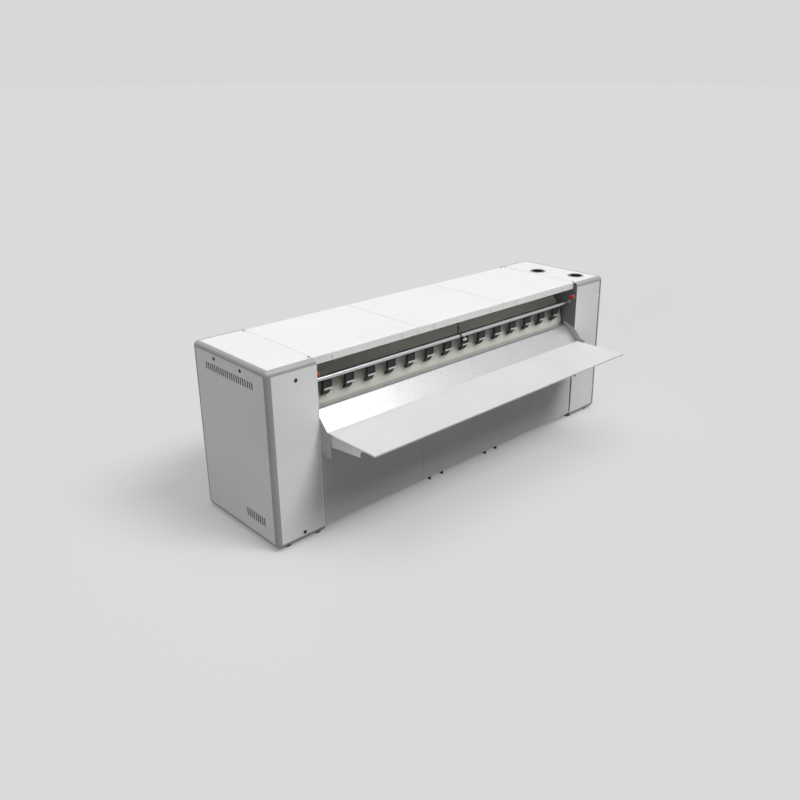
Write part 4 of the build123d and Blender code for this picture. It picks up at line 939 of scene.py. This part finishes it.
def addFoot(x, y):
    rim, stem = foot["pad"], foot["stem"]
    z, pitch, depth = foot["thread"]
    outline = [(0, 0), (rim - 2, 0), (rim, 2), (rim, 6), (rim - 3, 8.5), (14, 12), (11, 15), (stem, z)]
    while z + pitch < foot["top"]:
        outline += [(stem - depth, z + pitch / 2), (stem, z + pitch)]
        z += pitch
    outline.append((0, foot["top"]))
    base = addTurned("foot", outline, (x, y, 0), "z", 28)
    radius, low, high = foot["nut"]
    nut = addHexagon("nut", radius, x, y, low, high)
    edit(nut)
    pick("FACE", lambda fx, fy, fz, face: abs(face.normal.z) > 0.9)
    insetBy(*foot["nutEdge"], use_individual=True)
    return joined("foot", [base, nut])


footX, footY = foot["xs"][0], foot["y"]
footSteps = [(side * x - footX, y - footY, 0)
             for side in (1, -1) for x in foot["xs"] for y in (footY, backY - footY)][1:]
feet = repeated(addFoot(footX, footY), "levellingFeet", footSteps)
# the feet are black, which is partly painted shade for the dark line along the base
finish(feet, "black_plastic", "machine", ["levelling_feet"], 0.3)
print("feet")

# feed side: webbing belts round two turned rollers
belt = {
    "count": 34, "pitch": 80, "width": 40, "radius": 32.3, "thick": 2, "z": 925, "backY": 1200, "rollGap": 10,
    "lap": (38.8, 120, 60, -0.4, 0.7),                 # width, from the idler, length, bottom and top
    "stitches": (6, 6, 1, 4),                          # count, pitch, width and distance from the lap's ends
}
fromRoll = pad["radius"] + belt["rollGap"] + belt["radius"]
beltYs = (middleY + math.sqrt(fromRoll ** 2 - (belt["z"] - rollZ) ** 2), belt["backY"])


def addBelt():
    outline = []
    radius, z = belt["radius"], belt["z"]
    for y, start in zip(beltYs, (90, 270)):
        for i in range(13):
            angle = math.radians(start + 180 * i / 12)
            outline.append((y + radius * math.cos(angle), z + radius * math.sin(angle)))
    x = -(belt["count"] - 1) / 2 * belt["pitch"]
    half = belt["width"] / 2
    piece = addOutline("feedBelt", outline, "x", x - half, x + half, filled=False)
    thickened(piece, belt["thick"])
    # the ends of the belt are lapped and sewn
    width, fromIdler, length, low, high = belt["lap"]
    y = beltYs[0] + fromIdler
    top = z + radius
    lap = addBlock("beltLap", (x - width / 2, x + width / 2), (y, y + length), (top + low, top + high))
    parts = [piece, lap]
    count, pitch, thread, fromEnd = belt["stitches"]
    for i in range(count):
        sx = x + (i - (count - 1) / 2) * pitch
        xs, ys = (sx - thread / 2, sx + thread / 2), (y + fromEnd, y + length - fromEnd)
        parts.append(addBlock("stitches", xs, ys, (top + thread / 2, top + thread)))
    return joined("feedBelt", parts)


beltSteps = [(i * belt["pitch"], 0, 0) for i in range(1, belt["count"])]
finish(repeated(addBelt(), "feedBelts", beltSteps), "feed_belt", "machine", ["feed_belts"], 0)
journal, shell = 1386.5, 1375.5          # ends of a roller's parts, from the middle of the machine
rollerLine = [(0, -journal), (9, -journal), (10, 1 - journal), (10, -shell), (25, -shell),
              (25, 3.5 - shell), (28, 3.5 - shell), (28, -shell), (29, -shell), (30, 1 - shell)]
rollerLine += [(radius, -height) for radius, height in reversed(rollerLine)]
for name, body, y in (("feedIdlerRoller", "feed_idler", beltYs[0]),
                      ("feedDriveRoller", "feed_drive", beltYs[1])):
    roller = addTurned(name, rollerLine, (0, y, belt["z"]), "x", 64)
    finish(roller, "zinc_steel", body, [body + "_roller"], 0.3)
print("feed belts and rollers")

# the outlets are lined with a black sleeve, closed at its foot as painted shade for the dark inside of each duct, and
# stand in a pressed collar
outlets = {"places": ((1500.5, 527), (1605.5, 183)), "radius": 59.6, "wall": 1.2, "depth": 56, "low": 1206}
outside, wall, depth = outlets["radius"], outlets["wall"], outlets["depth"]
shadeCup = [(0, 0), (outside, 0), (outside, depth), (outside - wall, depth), (outside - wall, wall), (0, wall)]
collar = [(54, -2), (59.5, -2), (59.5, -0.5), (72, -0.5), (72, 0.6), (70.5, 1.5), (60, 1.8), (54.6, 0.4),
          (54, -0.6)]
(x0, y0), (x1, y1) = outlets["places"]
for name, outline, z, slot in (("outletShadeCups", shadeCup, outlets["low"], "black_plastic"),
                               ("outletCollars", collar, topZ, "grey_plastic")):
    piece = addTurned(name, outline, (x0, y0, z), "z", 56)
    finish(repeated(piece, name, [(x1 - x0, y1 - y0, 0)]), slot, "machine", (), 0.2)
print("outlets")

# light, floor and camera
light = {
    "ambient": 0.08,                 # what the world gives to matt surfaces
    "background": "D8D8D8",
    "floor": "D8D8D8",
    "floorWorn": "D7D7D7",
    "floorBounce": "606060",         # the floor is this dark to matt surfaces
    "floorGlow": 0.34,               # share of the floor's look that its shadow leaves alone
    # share of full light, where it comes from, and its spread in degrees
    "overhead": (0.44, (0, -0.10, 1), 60),
    "key": (0.6, (0.28, -0.53, 0.80), 26),
    "fill": (0.19, (-1, -0.25, 0.12), 20),
    "rear": (0.32, (0.1, 1, 0.03), 20),        # lifts the feed side, and mirrors in nothing
}
view = {             # the photograph's own camera: its place in metres and its angles in degrees
    "place": (-4.1846, -4.2802, 2.9625),
    "turn": -44.27, "down": 19.86,
    "focus": 797.7,                  # focal length in pixels
    "middle": (431.8, 361.7),        # where its middle fell in the picture
    "sensor": 36, "reach": 500,      # sensor width in mm, and how far the camera sees in metres
}


def backgroundRays(tree):            # 1 for rays that meet the pale studio: seen, mirrored or through glass
    rays = addNode(tree, "LightPath", {})
    seen = addNode(tree, "Math", {"operation": "ADD"},
                   {0: rays.outputs["Is Camera Ray"], 1: rays.outputs["Is Glossy Ray"]})
    return addNode(tree, "Math", {"operation": "ADD", "use_clamp": True},
                   {0: seen, 1: rays.outputs["Is Transmission Ray"]})


def addWorld():
    world = bpy.data.worlds.new("paleStudio")
    bpy.context.scene.world = world
    world.use_nodes = True
    tree = world.node_tree
    tree.nodes.clear()
    dim = addNode(tree, "Background", {"Color": hexColour("FFFFFF"), "Strength": light["ambient"]})
    pale = addNode(tree, "Background", {"Color": hexColour(light["background"]), "Strength": 1})
    both = addNode(tree, "MixShader", {}, {0: backgroundRays(tree), 1: dim, 2: pale})
    addNode(tree, "OutputWorld", {}, {"Surface": both})


def addSun(name, share, direction, spreadAngle):
    lamp = bpy.data.lights.new(name, "SUN")
    lamp.energy = share * math.pi
    lamp.angle = math.radians(spreadAngle)
    holder = inScene(name, lamp)
    holder.rotation_euler = Vector(direction).to_track_quat("Z", "Y").to_euler()
    holder.location = Vector(direction).normalized() * 6
    holder.visible_glossy = name != "rearLight"


def addFloor():
    bpy.ops.mesh.primitive_plane_add(size=400, location=(0, 0, 0))
    floor = bpy.context.object
    floor.name = "studioFloor"
    material, tree, coords = emptyMaterial("paleFloor")
    cloud = addNode(tree, "TexNoise", {"Scale": everyMm(4000)}, {"Vector": coords})
    colour = addNode(tree, "Mix", twoTones(light["floor"], light["floorWorn"]), {0: cloud})
    seen = backgroundRays(tree)
    bounce = addNode(tree, "Mix", {"data_type": "RGBA", 6: hexColour(light["floorBounce"])},
                     {0: seen, 7: colour.outputs[2]})
    matt = addNode(tree, "BsdfPrincipled", {"Roughness": 0.85, "Specular IOR Level": 0.1},
                   {"Base Color": bounce.outputs[2]})
    glow = addNode(tree, "Emission", {"Strength": 1}, {"Color": colour.outputs[2]})
    share = addNode(tree, "Math", {"operation": "MULTIPLY", 1: light["floorGlow"]}, {0: seen})
    both = addNode(tree, "MixShader", {}, {0: share, 1: matt, 2: glow})
    addNode(tree, "OutputMaterial", {}, {"Surface": both})
    floor.data.materials.append(material)


def addCamera():
    camera = inScene("photoCamera", bpy.data.cameras.new("photoCamera"))
    camera.location = view["place"]
    camera.rotation_euler = (math.radians(90 - view["down"]), 0, math.radians(view["turn"]))
    camera.data.sensor_width = view["sensor"]
    camera.data.lens = view["sensor"] * view["focus"] / picture
    camera.data.shift_x = 0.5 - view["middle"][0] / picture
    camera.data.shift_y = view["middle"][1] / picture - 0.5
    camera.data.clip_end = view["reach"]
    bpy.context.scene.camera = camera


bpy.context.scene.view_settings.view_transform = "Standard"
addWorld()
for lampName in ("overhead", "key", "fill", "rear"):
    addSun(lampName + "Light", *light[lampName])
addFloor()
addCamera()
print("light, floor and camera")
